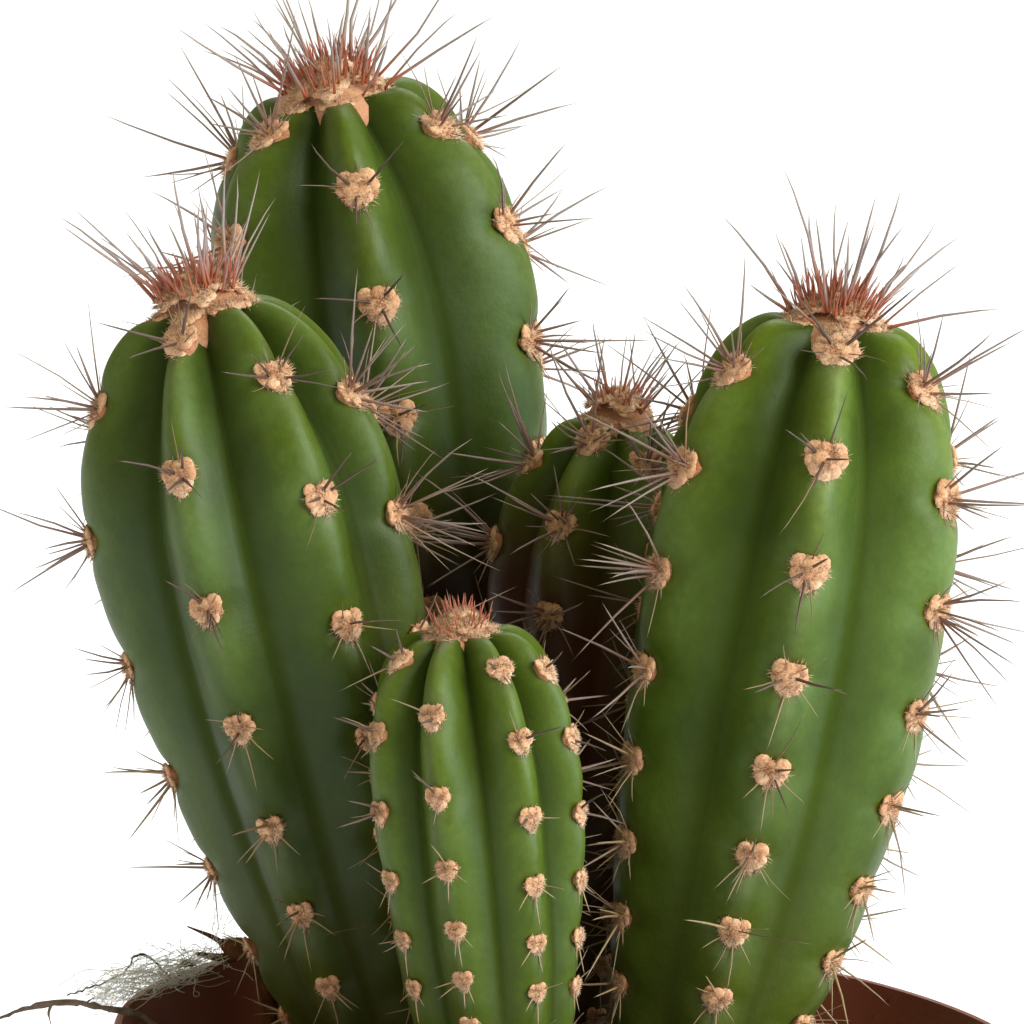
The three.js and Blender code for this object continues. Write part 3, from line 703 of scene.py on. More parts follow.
def draw_out(sides, rings):
    """A closed spike of unit length: a polygon extruded ring by ring and merged at its tip."""
    spike = start_disc(sides, 1)
    height, radius = 0.0, 1.0
    for place, share in (*rings, (1.0, 0.02)):
        bpy.ops.mesh.extrude_region_move(TRANSFORM_OT_translate={"value": (0, 0, place - height)})
        scale = share / radius
        bpy.ops.transform.resize(value=(scale, scale, 1), center_override=(0, 0, place))
        height, radius = place, share
    bpy.ops.mesh.merge(type="CENTER")
    close_mesh()
    return spike


def taken(pattern):
    """A pattern's points and faces, and removes it: only its copies stay in the scene."""
    points = np.array([v.co for v in pattern.data.vertices])
    faces = [list(face.vertices) for face in pattern.data.polygons]
    bpy.data.objects.remove(pattern)
    return points, faces


spine_pattern = taken(draw_out(5, SPINE_RINGS))
hair_pattern = taken(draw_out(3, ()))
cushion_pattern = taken(new_ball("cushion_pattern", 14, 8))
tuft_pattern = taken(new_ball("tuft_pattern", 9, 6))
for label, (points, faces) in (
    ("spine", spine_pattern), ("hair", hair_pattern), ("cushion", cushion_pattern),
    ("tuft", tuft_pattern),
):
    print(label, len(points), "points,", len(faces), "faces")

# %% [markdown]
# All copies of one kind on one stem go into one mesh. The helper below takes every copy's points,
# and repeats the pattern's faces for them.


# %% Copy a pattern many times
def repeat(name, pattern, points, **carried):
    """One piece made of copies: points is copies x points x 3, in millimetres."""
    faces, size = pattern[1], len(pattern[0])
    copies = len(points)
    all_faces = [[c + k * size for c in face] for k in range(copies) for face in faces]
    mesh = bpy.data.meshes.new(name)
    mesh.from_pydata((points * MM).reshape(-1, 3), [], all_faces)
    mesh.shade_smooth()
    piece = bpy.data.objects.new(name, mesh)
    bpy.context.collection.objects.link(piece)
    for label, values in carried.items():
        values = np.asarray(values, float)
        if values.shape != (copies, size):
            values = np.broadcast_to(values.reshape(copies, -1), (copies, size))
        carry(piece, label, values)
    return piece


def spike_points(pattern, root, direction, length, radius, bend=None, kink=None):
    """Points of spikes that stand at their roots, each turned, stretched, bent and kinked."""
    shape = pattern[0]
    helper = np.where(np.abs(direction[:, 2:]) < 0.9, (0.0, 0, 1), (1.0, 0, 0))
    first = unit(np.cross(helper, direction))
    second = np.cross(direction, first)
    points = root[:, None] + direction[:, None] * (shape[:, 2] * length[:, None])[..., None]
    points = points + first[:, None] * (shape[:, 0] * radius[:, None])[..., None]
    points = points + second[:, None] * (shape[:, 1] * radius[:, None])[..., None]
    if bend is not None:
        points = points + bend[:, None] * (shape[:, 2:] ** 2)
        points = points + kink[:, None] * (4 * shape[:, 2:] * (1 - shape[:, 2:]))
    return points


print("copying is ready")

# %% [markdown]
# ## Areoles
# An areole is felt pushed out of the crest: a rounded triangle that points down the rib, domed
# and about as wide as high. On a darker cushion stand eleven pale tufts, with brown pits between
# them where the spines come out. The cushions shrink from the shoulder towards the soil. Each
# copy gets its own lumps, so no two are alike, and stands square to the skin under it.

# %% Set the cushions
def frame_on(stem, below, azimuth):
    """Where an areole sits, and the directions out of it, down the rib and across it."""
    below, azimuth = np.atleast_1d(below).astype(float), np.atleast_1d(azimuth).astype(float)
    reach = 1.2
    on = lambda s, a: skin_point(stem, s, a, crest_radius(stem, s))
    root = on(below, azimuth)
    upper = np.maximum(below - reach, 0.02)
    down = unit(on(below + reach, azimuth) - on(upper, azimuth))
    degrees = 4
    right = on(below, azimuth + degrees) - on(below, azimuth - degrees)
    out = unit(np.cross(down, right))
    return root, down, np.cross(out, down), out


def areoles_on(stem):
    """Every areole outside the woolly tip: frame, size and share of the way down."""
    reach = CROWN_SHARE * stem["crest"] + 0.95 * stem["half"] + 0.4
    below = np.concatenate(stem["places"])
    rib = np.concatenate([np.full(len(p), i) for i, p in enumerate(stem["places"])])
    azimuth = np.array([bearing for bearing, _ in stem["ribs"]])[rib]
    tip = along_line(stem, 0.0)[0]
    root, down, side, out = frame_on(stem, below, azimuth)
    keep = np.linalg.norm(root - tip, axis=1) > reach
    share = below / stem["length"]
    size = stem["half"] * (1.06 - 0.5 * share)
    bare = np.isin(rib, stem["bare"])
    found = dict(root=root, down=down, side=side, out=out, share=share, size=size, bare=bare)
    return {label: values[keep] for label, values in found.items()}


def frames_of(spots):
    return np.stack([spots["side"], spots["down"], spots["out"]], 1)


def sunk_roots(spots):
    """Where cushions and tufts are centred, a little way into the skin."""
    return spots["root"] - spots["out"] * (SINK * spots["size"])[:, None]


def triangular(x, y):
    """Turns a round outline into a triangle with a notched top. y runs down the rib."""
    notch = 0.2 * np.clip(-y, 0, 1) * np.exp(-((x / 0.3) ** 2))
    return x * (1.08 - 0.62 * np.clip(y, 0, 1)), np.where(y < 0, 0.95 * y, 1.4 * y) + notch


# place across and down the rib and radius, as shares of the areole's half size
TUFTS = np.array((
    (-0.56, -0.46, 0.44), (0.56, -0.46, 0.44), (0, -0.4, 0.42), (-0.62, 0.02, 0.42),
    (0.62, 0.02, 0.42), (-0.24, 0.1, 0.42), (0.24, 0.1, 0.42), (-0.34, 0.48, 0.4),
    (0.34, 0.48, 0.4), (0, 0.74, 0.4), (0, 1.14, 0.26),
))
SINK = 0.42  # how deep cushions and tufts stand in the skin, as a share of their half size
TUFT_SHAPE = (1.08, 1.08, 0.45)  # a tuft's width, length and height, as shares of its radius
TUFT_JITTER = 0.045
BED_SIZE = 0.88  # the darker cushion under the tufts, as a share of the areole


def tuft_points(spots, rng):
    """Small balls of felt, laid out as a triangle on each areole."""
    shape, count = tuft_pattern[0], len(spots["root"])
    x, y, radius = TUFTS.T
    centre = np.stack([-x, y, 0.40 * (1 - (x**2 + 0.6 * y**2) / 1.8)], -1)
    centre = centre + rng.normal(0, TUFT_JITTER, (count, len(TUFTS), 3))
    radius = radius * rng.uniform(0.85, 1.15, (count, len(TUFTS)))
    ball = shape * TUFT_SHAPE * radius[..., None, None]
    local = (centre[:, :, None] + ball) * spots["size"][:, None, None, None]
    steps = np.einsum("ntvi,nij->ntvj", local, frames_of(spots))
    return (sunk_roots(spots)[:, None, None] + steps).reshape(-1, len(shape), 3)


def cushion_points(spots, rng, height=0.5):
    """The pattern ball as felt cushions: flat, triangular and lumpy."""
    shape = cushion_pattern[0]
    x, y, z = shape.T
    count = len(spots["root"])
    wide, tall = triangular(x, y)
    phase = rng.uniform(0, 2 * math.pi, (count, 4, 1))
    lumps = 1 + 0.12 * np.sin(5 * np.arctan2(y, x) + phase[:, 0]) * (1 - z**2)
    lumps = lumps + 0.06 * np.sin(3 * np.arctan2(y, x) + phase[:, 1])
    bumps = 0.12 * np.sin(6 * x + phase[:, 2]) * np.sin(6 * y + phase[:, 3])
    size = spots["size"][:, None] * rng.uniform(0.93, 1.08, (count, 1))
    dome = np.sign(z) * np.abs(z) ** 0.8 * (height + bumps * (z > 0))
    local = np.stack([wide * lumps * size, tall * lumps * size, dome * size], -1)
    frames = frames_of(spots)
    # the pattern's y runs down the rib, so side, down and out must keep its turning sense
    frames[:, 0] *= -1
    return sunk_roots(spots)[:, None] + np.einsum("nvi,nij->nvj", local, frames)


def felt_piece(name, pattern, points, low_end, tone, *nodes):
    """One piece of felt made of copies of a pattern."""
    piece = repeat(name, pattern, points, low_end=low_end, tone=tone)
    return dress(piece, felt_finish, "crown_wool", *nodes)


for stem in STEMS.values():
    rng = np.random.default_rng(stem["seed"])
    spots = stem["spots"] = areoles_on(stem)
    points = cushion_points(dict(spots, size=BED_SIZE * spots["size"]), rng)
    tone = rng.uniform(0.6, 1, len(points))
    felt_piece("areole_beds_" + stem["name"], cushion_pattern, points, np.zeros(len(points)), tone)
    points = tuft_points(spots, rng)
    low_end = np.tile(np.clip(TUFTS[:, 1], 0, 1), len(points) // len(TUFTS))
    tone = rng.uniform(0, 0.25, len(points))
    piece = felt_piece("areoles_" + stem["name"], tuft_pattern, points, low_end, tone)
    print(piece.name, len(points), "tufts on", len(points) // len(TUFTS), "cushions")

# %% [markdown]
# Felt is hair. A cushion's smooth edge gives it away, so short fine hairs stand all over each
# dome and past its outline. They lean every way, and the ones at the rim lie nearly flat.

# %% Cover the cushions with short hair
HAIRS = 260  # on each areole
HAIR_DOME = 0.6  # height of the dome that they stand on, as a share of the areole's half size


def hair_on(spots, rng, count, length):
    """Roots, directions and lengths of hairs on the cushions' domes, and how low each stands."""
    cushions = len(spots["root"])
    angle = rng.uniform(0, 2 * math.pi, (cushions, count))
    out = np.sqrt(rng.uniform(0, 1, (cushions, count))) * 0.98
    x, y = out * np.cos(angle), out * np.sin(angle)
    high = np.sqrt(1 - out**2) ** 0.8 * HAIR_DOME * 0.97 - SINK
    wide, tall = triangular(x, y)
    size = spots["size"][:, None]
    steps = np.stack([-wide * size, tall * size, high * size], -1)
    frames = frames_of(spots)
    root = spots["root"][:, None] + np.einsum("nvi,nij->nvj", steps, frames)
    lean = np.stack([-x, y, 0.9 * np.sqrt(1 - out**2) + 0.12], -1)
    lean = lean + rng.normal(0, 0.35, lean.shape)
    direction = unit(np.einsum("nvi,nij->nvj", lean, frames))
    long = length * size * rng.uniform(0.5, 1.25, (cushions, count))
    return root.reshape(-1, 3), direction.reshape(-1, 3), long.ravel(), np.clip(y, 0, 1).ravel()


def grow_hair(name, spots, rng, count, length, thick, darkest, low=1.0, longest=math.inf):
    """Felt hair on cushions as one piece; low is how much of the low end's paleness it takes on."""
    root, direction, length, low_end = hair_on(spots, rng, count, length)
    length, radius = np.minimum(length, longest), np.full(len(root), thick)
    points = spike_points(hair_pattern, root - 0.1 * direction, direction, length, radius)
    tone = rng.uniform(0, darkest, len(points))
    return felt_piece(name, hair_pattern, points, low_end * low, tone)


for stem in STEMS.values():
    rng = np.random.default_rng(stem["seed"] + 100)
    piece = grow_hair("felt_hair_" + stem["name"], stem["spots"], rng, HAIRS, 0.44, 0.07, 0.3)
    print(piece.name, len(piece.data.polygons) // len(hair_pattern[1]), "hairs")

# %% [markdown]
# ## Spines
# High on a stem each areole sends out six to nine strong dark spines near its middle, further
# down three to five, and a fan of thinner ones round its edge. Below the shoulder three pale ones
# hang down, and here and there a long pale one strays. Up on the shoulder they are longest, close
# to the soil short and straw-coloured. A spine that would run into a neighbouring stem or into
# the soil is shortened, as it would have broken off there.

# %% Grow the spines
LEAST_SPINE = 2.5  # millimetres; a shorter one isn't grown
RIM_RADIUS, RIM_INSIDE, RIM_TOP = 60, 54.5, 97  # of the pot, kept clear by the spines
HIGH_UP = 0.33  # share of the way down a stem where its areoles grow fewer spines
STRAYS = 0.025  # share of the spines that are long, thin and pale
HANGING = ((0, 0.66), (-0.85, 0.46), (0.9, 0.4))  # bearing from straight down, share of the length


def inside_a_stem(points, own):
    """Whether points lie inside a stem's crests; on its own stem they may come closer."""
    hit = np.zeros(len(points), bool)
    for name, stem in STEMS.items():
        below = np.linspace(0.5, stem["length"], 90)
        centre, up, _, _ = along_line(stem, below)
        offset = points[:, None] - centre
        rise = np.einsum("psi,si->ps", offset, up)
        across = np.sqrt(np.maximum((offset**2).sum(-1) - rise**2, 0))
        reach = crest_radius(stem, below) * (0.9 if name == own else 1.0) + (name != own) * 0.3
        hit |= ((np.abs(rise) < 1.2) & (across < reach)).any(1)
    return hit


def clear_length(root, direction, length, own):
    """Lengths at which no spine runs into a stem, the soil or out of the pot's wall."""
    for share in (0.3, 0.5, 0.7, 0.85, 1.0):
        points = root + direction * (length * share)[:, None]
        across = np.hypot(points[:, 0], points[:, 1])
        blocked = inside_a_stem(points, own)
        blocked |= (points[:, 2] < SOIL_LEVEL + 0.5) & (across < RIM_RADIUS)
        blocked |= (points[:, 2] < RIM_TOP) & (across > RIM_INSIDE)
        length = np.where(blocked & (length > 0), length * (share - 0.22), length)
    return np.where(length < LEAST_SPINE, 0, length)


def flat_on(spots, i, bearing):
    """Direction along the skin at an areole, turned from straight down the rib."""
    return spots["down"][i] * math.cos(bearing) + spots["side"][i] * math.sin(bearing)


def spines_on(stem, rng):
    """Root, direction, length, radius, tone and kind of every spine; bare ribs have dark ones."""
    rows = []
    spots = stem["spots"]
    for i, share in enumerate(spots["share"]):
        size, left = spots["size"][i], 0.5 if spots["bare"][i] else 1.0
        small = stem["young"] * 4.5
        strong = rng.integers(6, 10) if share < HIGH_UP else rng.integers(3, 6)
        strong = max(round(left * (strong - small * 1.4 - (share > 0.7))), 0)
        thin = max(round(left * (7.5 - 4.0 * share - small)), 2) + rng.integers(-1, 2)
        start = rng.uniform(0, 2 * math.pi)
        for k in range(strong + thin):
            dark = k < strong
            bearing = start + 2 * math.pi * (k / max(strong if dark else thin, 1))
            bearing += rng.normal(0, 0.6)
            lean = rng.uniform(0.15, 1.0) if dark else rng.uniform(0.7, 1.25)
            flat = flat_on(spots, i, bearing)
            direction = spots["out"][i] * math.cos(lean) + flat * math.sin(lean)
            foot = rng.uniform(0.05, 0.45) if dark else rng.uniform(0.3, 0.7)
            root = spots["root"][i] + flat * foot * size - spots["out"][i] * 0.25
            reach = rng.uniform(0.5, 1.5) if dark else rng.uniform(0.3, 1.0)
            length = stem["spine"] * (1.12 - 0.62 * share) * reach * (0.5 + 0.5 * left)
            thick = rng.uniform(0.22, 0.32) if dark else rng.uniform(0.11, 0.17)
            pale = min(max(rng.normal(0.1 + 0.85 * share + 0.4 * stem["young"], 0.28), 0), 1)
            tone = 0.1 * pale if dark and share < 0.5 else pale
            if rng.uniform() < STRAYS:
                length, thick, tone = 1.25 * stem["spine"], 0.17, 0.45
            rows.append((*root, *direction, length, thick * (1 - 0.25 * share), tone, left - 1))
        for bearing, long in HANGING if share > HIGH_UP else ():
            bearing += rng.normal(0, 0.2)
            flat = flat_on(spots, i, bearing)
            root = spots["root"][i] + flat * 0.5 * size - spots["out"][i] * 0.2
            length = stem["spine"] * long * rng.uniform(0.7, 1.2) * (1.2 - 0.4 * share)
            direction = 0.3 * spots["out"][i] + 0.95 * flat
            rows.append((*root, *direction, length, 0.15, rng.uniform(0.75, 1), 0))
    return np.array(rows)


def grow_spines(name, stem, rows, rng, bend=0.45):
    root, direction = rows[:, :3], unit(rows[:, 3:6])
    length = clear_length(root, direction, rows[:, 6], stem["name"])
    grown = length > 0
    rows, root, direction, length = rows[grown], root[grown], direction[grown], length[grown]
    strays = []
    for sway in (bend, 0.35 * bend):
        stray = rng.normal(0, sway, root.shape) * (length / 10)[:, None]
        strays.append(stray - direction * (stray * direction).sum(1)[:, None])
    points = spike_points(spine_pattern, root, direction, length, rows[:, 7], *strays)
    along = np.broadcast_to(spine_pattern[0][:, 2], points.shape[:2])
    looks = dict(along=along, tone=rows[:, 8], from_crown=rows[:, 9])
    return repeat(name, spine_pattern, points, **looks)


for stem in STEMS.values():
    rng = np.random.default_rng(stem["seed"] + 200)
    piece = grow_spines("spines_" + stem["name"], stem, spines_on(stem, rng), rng)
    dress(piece, horn_finish, "cactus_skin")
    print(piece.name, len(piece.data.polygons) // len(spine_pattern[1]), "spines")

# %% [markdown]
# ## Woolly tips
# At the growing point the youngest areoles crowd together before their ribs have formed: a ring
# of felt, one cushion for each rib, round a few more in the middle, all on a low pad of wool.
# Their young spines stand up in a dense tuft, red-brown at the foot and grey towards the point.

# %% Cover the tips with wool and a tuft of young spines
TUFT = 30  # spines in the tuft of a full-grown stem
BRISTLES = 120  # and short young ones round their feet
FULL_CREST = 20
TUFT_LENGTH = 15.5
# the inner cushions: how many, how far out and up and how large, as shares of the wool's radius
INNER_CUSHIONS = ((None, 0.58, 0.14, 0.4), (3, 0.22, 0.32, 0.42))


def crown_spots(stem, rng):
    """Areoles of the tip: one at the top of each rib, an inner ring and a few more."""
    pad = WOOL_SHARE * stem["crest"]
    fine = np.linspace(0, stem["dome"], 3000)
    rim = np.interp(pad, crest_radius(stem, fine), fine)
    azimuth = np.array([a for a, _ in stem["ribs"]], float)
    count = len(azimuth)
    root, down, side, out = frame_on(stem, np.full(count, rim), azimuth)
    centre, up, right, front = along_line(stem, 0.0)
    out = unit(out + 0.3 * up)
    side = unit(np.cross(out, down))
    down = np.cross(side, out)
    rows = [(root - 0.5 * up, down, side, out, 0.34 * pad * rng.uniform(0.85, 1.15, count))]
    for number, place, high, size in INNER_CUSHIONS:
        number = number or count - 1
        turns = (np.arange(number) + rng.uniform(0, 0.4, number)) * 2 * math.pi / number
        flat = right * np.cos(turns)[:, None] + front * np.sin(turns)[:, None]
        out = unit(up + 0.5 * flat)
        root = centre + flat * place * pad + up * high * pad
        side = unit(np.cross(out, flat))
        size = size * pad * rng.uniform(0.85, 1.2, number)
        rows.append((root, np.cross(side, out), side, out, size))
    root, down, side, out, size = (np.concatenate(parts) for parts in zip(*rows))
    return dict(root=root, down=down, side=side, out=out, size=size)


def crown_tuft(stem, rng):
    pad = WOOL_SHARE * stem["crest"]
    scale = stem["crest"] / FULL_CREST
    centre, up, right, front = along_line(stem, 0.0)
    rows = []
    count = round(TUFT * scale)
    for i in range(count + round(BRISTLES * (scale + stem["young"]))):
        long = i < count
        spread = math.sqrt(rng.uniform(0, 1)) * (1 if long else 0.8)
        bearing = rng.uniform(0, 2 * math.pi)
        flat = right * math.cos(bearing) + front * math.sin(bearing)
        lean = (0.95 if long else 0.6) * spread + rng.normal(0, 0.18)
        direction = up * math.cos(lean) + flat * math.sin(lean)
        root = centre + flat * 1.15 * pad * spread + up * (0.4 - 0.6 * spread**2) * pad
        if long:
            length = TUFT_LENGTH * rng.uniform(0.35, 1.1) * (1 - stem["young"])
        else:
            length = rng.uniform(1.6, 4.2)
        thick = rng.uniform(0.2, 0.36) if long else rng.uniform(0.12, 0.24)
        tone = float(not long or stem["young"] > 0.5)
        rows.append((*root, *direction, length * scale, thick * scale**0.4, tone, 1))
    return np.array(rows)


for stem in STEMS.values():
    rng = np.random.default_rng(stem["seed"] + 300)
    spots = crown_spots(stem, rng)
    name, out = stem["name"], spots["out"].mean(0)
    low = dict(
        root=(spots["root"].mean(0) - 0.4 * out)[None], out=out[None],
        down=spots["down"][:1], side=spots["side"][:1], size=np.array([0.31 * stem["crest"]]),
    )
    points = cushion_points(low, rng, 0.62)
    felt_piece("crown_pad_" + name, cushion_pattern, points, np.zeros(1), np.full(1, 0.5))
    points = tuft_points(spots, rng)
    low_end, tone = rng.uniform(0, 1, len(points)), rng.uniform(0.0, 0.12, len(points))
    wool = felt_piece("crown_wool_" + name, tuft_pattern, points, low_end, tone, "crown_" + name)
    grow_hair("crown_hair_" + name, spots, rng, 200, 0.55, 0.085, 0.5, low=0.6, longest=1.3)
    tuft = grow_spines("crown_spines_" + name, stem, crown_tuft(stem, rng), rng, 0.8)
    dress(tuft, horn_finish, "crown_wool")
    print(wool.name, len(spots["root"]), "cushions,", len(tuft.data.polygons), "spine faces")

# %% [markdown]
# ## Pot
# The pot is a thin-walled nursery pot of reddish-brown plastic: a flat foot, a wall that widens
# evenly, and a wider band under the rim. It is drawn up like a potter draws up clay: from a disc,
# the open edge is extruded ring after ring, up the outside, over the lip and down the inside, and
# closed with the inner floor. A spun outline would do as well, but this way every ring stays a
# clean loop.

# %% Draw up the pot
POT_SIDES = 160
OUTLINE = (
    (41.3, 0), (42, 0.7), (42.25, 1.9), (55.4, 84.3), (57.2, 85.5), (57.5, 86.7), (59.85, 95.3),
    (60, 96), (59.8, 96.4), (59.4, 96.5), (59.0, 96.35), (58.8, 95.8), (56.2, 86.7), (55.6, 85.5),
    (54.25, 84.3), (40.8, 1.6),
)


def draw_up(name, sides, first_radius, outline):
    """A vessel made from a disc by extruding its edge along an outline of radius and height."""
    piece = start_disc(sides, first_radius * MM)
    piece.name = piece.data.name = name
    radius, height = first_radius, 0.0
    for next_radius, next_height in outline:
        rise = (0, 0, (next_height - height) * MM)
        bpy.ops.mesh.extrude_edges_move(TRANSFORM_OT_translate={"value": rise})
        scale = next_radius / radius
        bpy.ops.transform.resize(
            value=(scale, scale, 1), center_override=(0, 0, next_height * MM)
        )
        radius, height = next_radius, next_height
    bpy.ops.mesh.edge_face_add()
    close_mesh()
    return piece


pot = draw_up("pot_shell", POT_SIDES, 40.2, OUTLINE)
print(pot.name, len(pot.data.polygons), "faces")

# %% [markdown]
# Six drain holes go through the floor. A row of plain cylinders is joined into one cutter, and a
# Boolean modifier takes it out of the pot.

# %% Drill the drain holes
DRAIN_HOLES = 6
DRAIN_RADIUS = 3.5
DRAIN_CIRCLE = 27

start_clean()
cutters = []
for i in range(DRAIN_HOLES):
    turn = 2 * math.pi * (i + 0.5) / DRAIN_HOLES
    place = (DRAIN_CIRCLE * math.cos(turn) * MM, DRAIN_CIRCLE * math.sin(turn) * MM, 0)
    bpy.ops.mesh.primitive_cylinder_add(
        vertices=32, radius=DRAIN_RADIUS * MM, depth=12 * MM, location=place
    )
    cutters.append(bpy.context.object)
for cutter in cutters:
    cutter.select_set(True)
bpy.ops.object.join()
cutter = bpy.context.object

start_clean()
pot.select_set(True)
bpy.context.view_layer.objects.active = pot
drill = pot.modifiers.new("drain", "BOOLEAN")
drill.object = cutter
drill.solver = "EXACT"
bpy.ops.object.modifier_apply(modifier=drill.name)
bpy.data.objects.remove(cutter)
bpy.ops.object.shade_smooth_by_angle(angle=math.radians(32))
print(pot.name, "has", DRAIN_HOLES, "holes and", len(pot.data.polygons), "faces")

# %% [markdown]
# Moulded plastic of this kind is satin, not shiny. It has a fine grain and a little dust in
# streaks.

# %% Mix the pot's plastic
plastic = Finish("pot_plastic", Roughness=0.42, IOR=1.48, Specular_IOR_Level=0.4)
clouds = plastic.noise(40, 4, 0.6)
streaks = plastic.noise(60, 4, 0.6, stretch=(1.0, 1.0, 0.12))
brown = plastic.mix(plastic.span(clouds, 0.3, 0.7), (0.215, 0.052, 0.030), (0.275, 0.076, 0.046))
dusty = plastic.span(streaks, 0.55, 0.85, 0.0, 0.25)
brown = plastic.mix(dusty, brown, (0.290, 0.140, 0.090))
specks = plastic.span(plastic.noise(700, 3, 0.7), 0.62, 0.72, 0.0, 0.5)
brown = plastic.mix(specks, brown, (0.030, 0.014, 0.009))
worn = plastic.span(clouds, 0.3, 0.7, 0.36, 0.52)
plastic_relief = plastic.bump(plastic.noise(1800, 2), 0.00004, 0.6)
plastic_finish = plastic.done(Base_Color=brown, Roughness=worn, Normal=plastic_relief)
dress(pot, plastic_finish, "pot_plastic", "pot")
print("mixed", plastic_finish.name)

# %% [markdown]
# ## Potting mix
# The mix is a dark peat with crumbs and a few white grains of perlite. The photograph's lower
# edge hides it, so it is finished plainly. A ball is pressed into the pot: its upper half becomes
# the lumpy top, its lower half lies against the wall and the floor. Loose crumbs are copied over
# the top.

# %% Press the soil into the pot
SOIL_SEGMENTS = 144
SOIL_RINGS = 110
SOIL_EDGE = 80.4
SOIL_BASE = 1.95
FOOT_RADIUS, BAND_RADIUS = 42, 55.4  # the pot's outer wall at its foot and where the band starts
POT_FLOOR, WALL_HEIGHT = 1.6, 83.9
POT_WALL, SOIL_GAP = 1.2, 0.6


def inside_radius(height):
    """Radius of the soil against the pot's inner wall, with a hair's breadth between them."""
    wider = (BAND_RADIUS - FOOT_RADIUS) * (height - POT_FLOOR) / WALL_HEIGHT
    return FOOT_RADIUS + wider - POT_WALL - SOIL_GAP


def soil_height(x, y):
    """Height of the mix: gentle lumps, as in the measured solid, with finer ones on them."""
    lumps = np.sin(0.23 * x + 1) * np.cos(0.31 * y) + 0.5 * np.sin(0.5 * x - 0.4 * y)
    fine = np.array([
        noise.fractal(Vector((a * 0.22, b * 0.22, 3)), 0.7, 2.1, 5)
        for a, b in zip(np.ravel(x), np.ravel(y))
    ])
    return SOIL_LEVEL - 1 + 0.9 * lumps + 0.9 * fine.reshape(np.shape(x))


soil = new_ball("potting_mix", SOIL_SEGMENTS, SOIL_RINGS)
ball = read_points(soil) * MM
turn = np.arctan2(ball[:, 1], ball[:, 0])
share = np.arccos(np.clip(ball[:, 2], -1, 1)) / math.pi
top, wall = 0.74, 0.9  # shares of the way from pole to pole where the top and the wall end
edge_radius, base_radius = inside_radius(SOIL_EDGE), inside_radius(SOIL_BASE) - 1
radius = np.interp(share, (0, top, wall, 1), (0, edge_radius, base_radius, 0))


def towards_edge(radius):
    """0 over most of the soil's top, rising to 1 in the last tenth before its edge."""
    return np.clip((radius - 0.9 * edge_radius) / (0.1 * edge_radius), 0, 1)


x, y = radius * np.cos(turn), radius * np.sin(turn)
sunk = towards_edge(radius)
lumpy = soil_height(x, y) * (1 - sunk) + SOIL_EDGE * sunk
low = np.interp(share, (top, wall, 1), (SOIL_EDGE, SOIL_BASE, SOIL_BASE))
write_points(soil, np.stack([x, y, np.where(share <= top, lumpy, low)], 1))
soil.data.shade_smooth()

peat = Finish("peat_mix", Roughness=0.95, Specular_IOR_Level=0.2)
crumbly = peat.noise(900, 4, 0.75)
dark = peat.mix(peat.span(crumbly, 0.35, 0.7), (0.010, 0.006, 0.004), (0.062, 0.036, 0.022))
dark = peat.mix(peat.carried("tone"), dark, (0.50, 0.47, 0.42))
peat_relief = peat.bump(crumbly, 0.0006, 0.9)
peat_finish = peat.done(Base_Color=dark, Normal=peat_relief)
dress(soil, peat_finish, "potting_mix", "soil")
print(soil.name, "top at", round(float(lumpy.max()), 1), "mm")

# %% [markdown]
# A crumb is an icosahedron, squeezed and turned differently in each copy. Most are dark, one in
# thirty is a larger pale grain of perlite.

# %% Scatter crumbs and perlite
CRUMBS = 2600

start_clean()
bpy.ops.mesh.primitive_ico_sphere_add(subdivisions=1, radius=1)
crumb_pattern = taken(bpy.context.object)


def turned_lumps(pattern, place, size, rng):
    """Copies of a lump, each squeezed along its own axes and turned at random."""
    count = len(place)
    squeeze = rng.uniform(0.55, 1.25, (count, 1, 3)) * size[:, None, None]
    dents = 1 + rng.uniform(-0.22, 0.22, (count, len(pattern[0]), 1))
    frames = np.linalg.qr(rng.normal(size=(count, 3, 3)))[0]
    frames *= np.sign(np.linalg.det(frames))[:, None, None]
    return place[:, None] + np.einsum("nvi,nij->nvj", pattern[0] * squeeze * dents, frames)


rng = np.random.default_rng(51)
out = np.sqrt(rng.uniform(0, 1, CRUMBS)) * (edge_radius - 1.2)
bearing = rng.uniform(0, 2 * math.pi, CRUMBS)
x, y = out * np.cos(bearing), out * np.sin(bearing)
pale = rng.uniform(0, 1, CRUMBS) < 0.03
size = np.where(pale, rng.uniform(0.7, 1.3, CRUMBS), rng.uniform(0.25, 1.0, CRUMBS) ** 1.5 + 0.2)
place = np.stack([x, y, soil_height(x, y) + 0.25 * size], 1)
fall = towards_edge(out)
place[:, 2] = place[:, 2] * (1 - fall) + (SOIL_EDGE + 0.2) * fall
crumbs = repeat(
    "crumbs", crumb_pattern, turned_lumps(crumb_pattern, place, size, rng),
    tone=np.where(pale, rng.uniform(0.6, 1, CRUMBS), rng.uniform(0, 0.08, CRUMBS)),
)
dress(crumbs, peat_finish, "potting_mix")
print(crumbs.name, CRUMBS, "of them,", int(pale.sum()), "pale")

# %% [markdown]
# ## Dry root and fibres
# At the left a dead root has grown out of the soil, over the rim and hangs outside. It is a bent,
# knotty strand with thinner rootlets and a chip of bark behind it, and a grey cobweb of fibres is
# caught between it and the plant. Curves are the natural way: each is a line of points with a
# round bevel, made a mesh at the end.

# %% Lay the dry root over the rim
ROOT_PATH = (
    (-46, 0, 78), (-51, -1, 90), (-55.8, -2, 97.2), (-60.5, -3, 98.5), (-66, -4.5, 99.4),
    (-70.5, -6, 98.8), (-74.5, -7.5, 97.4),
)


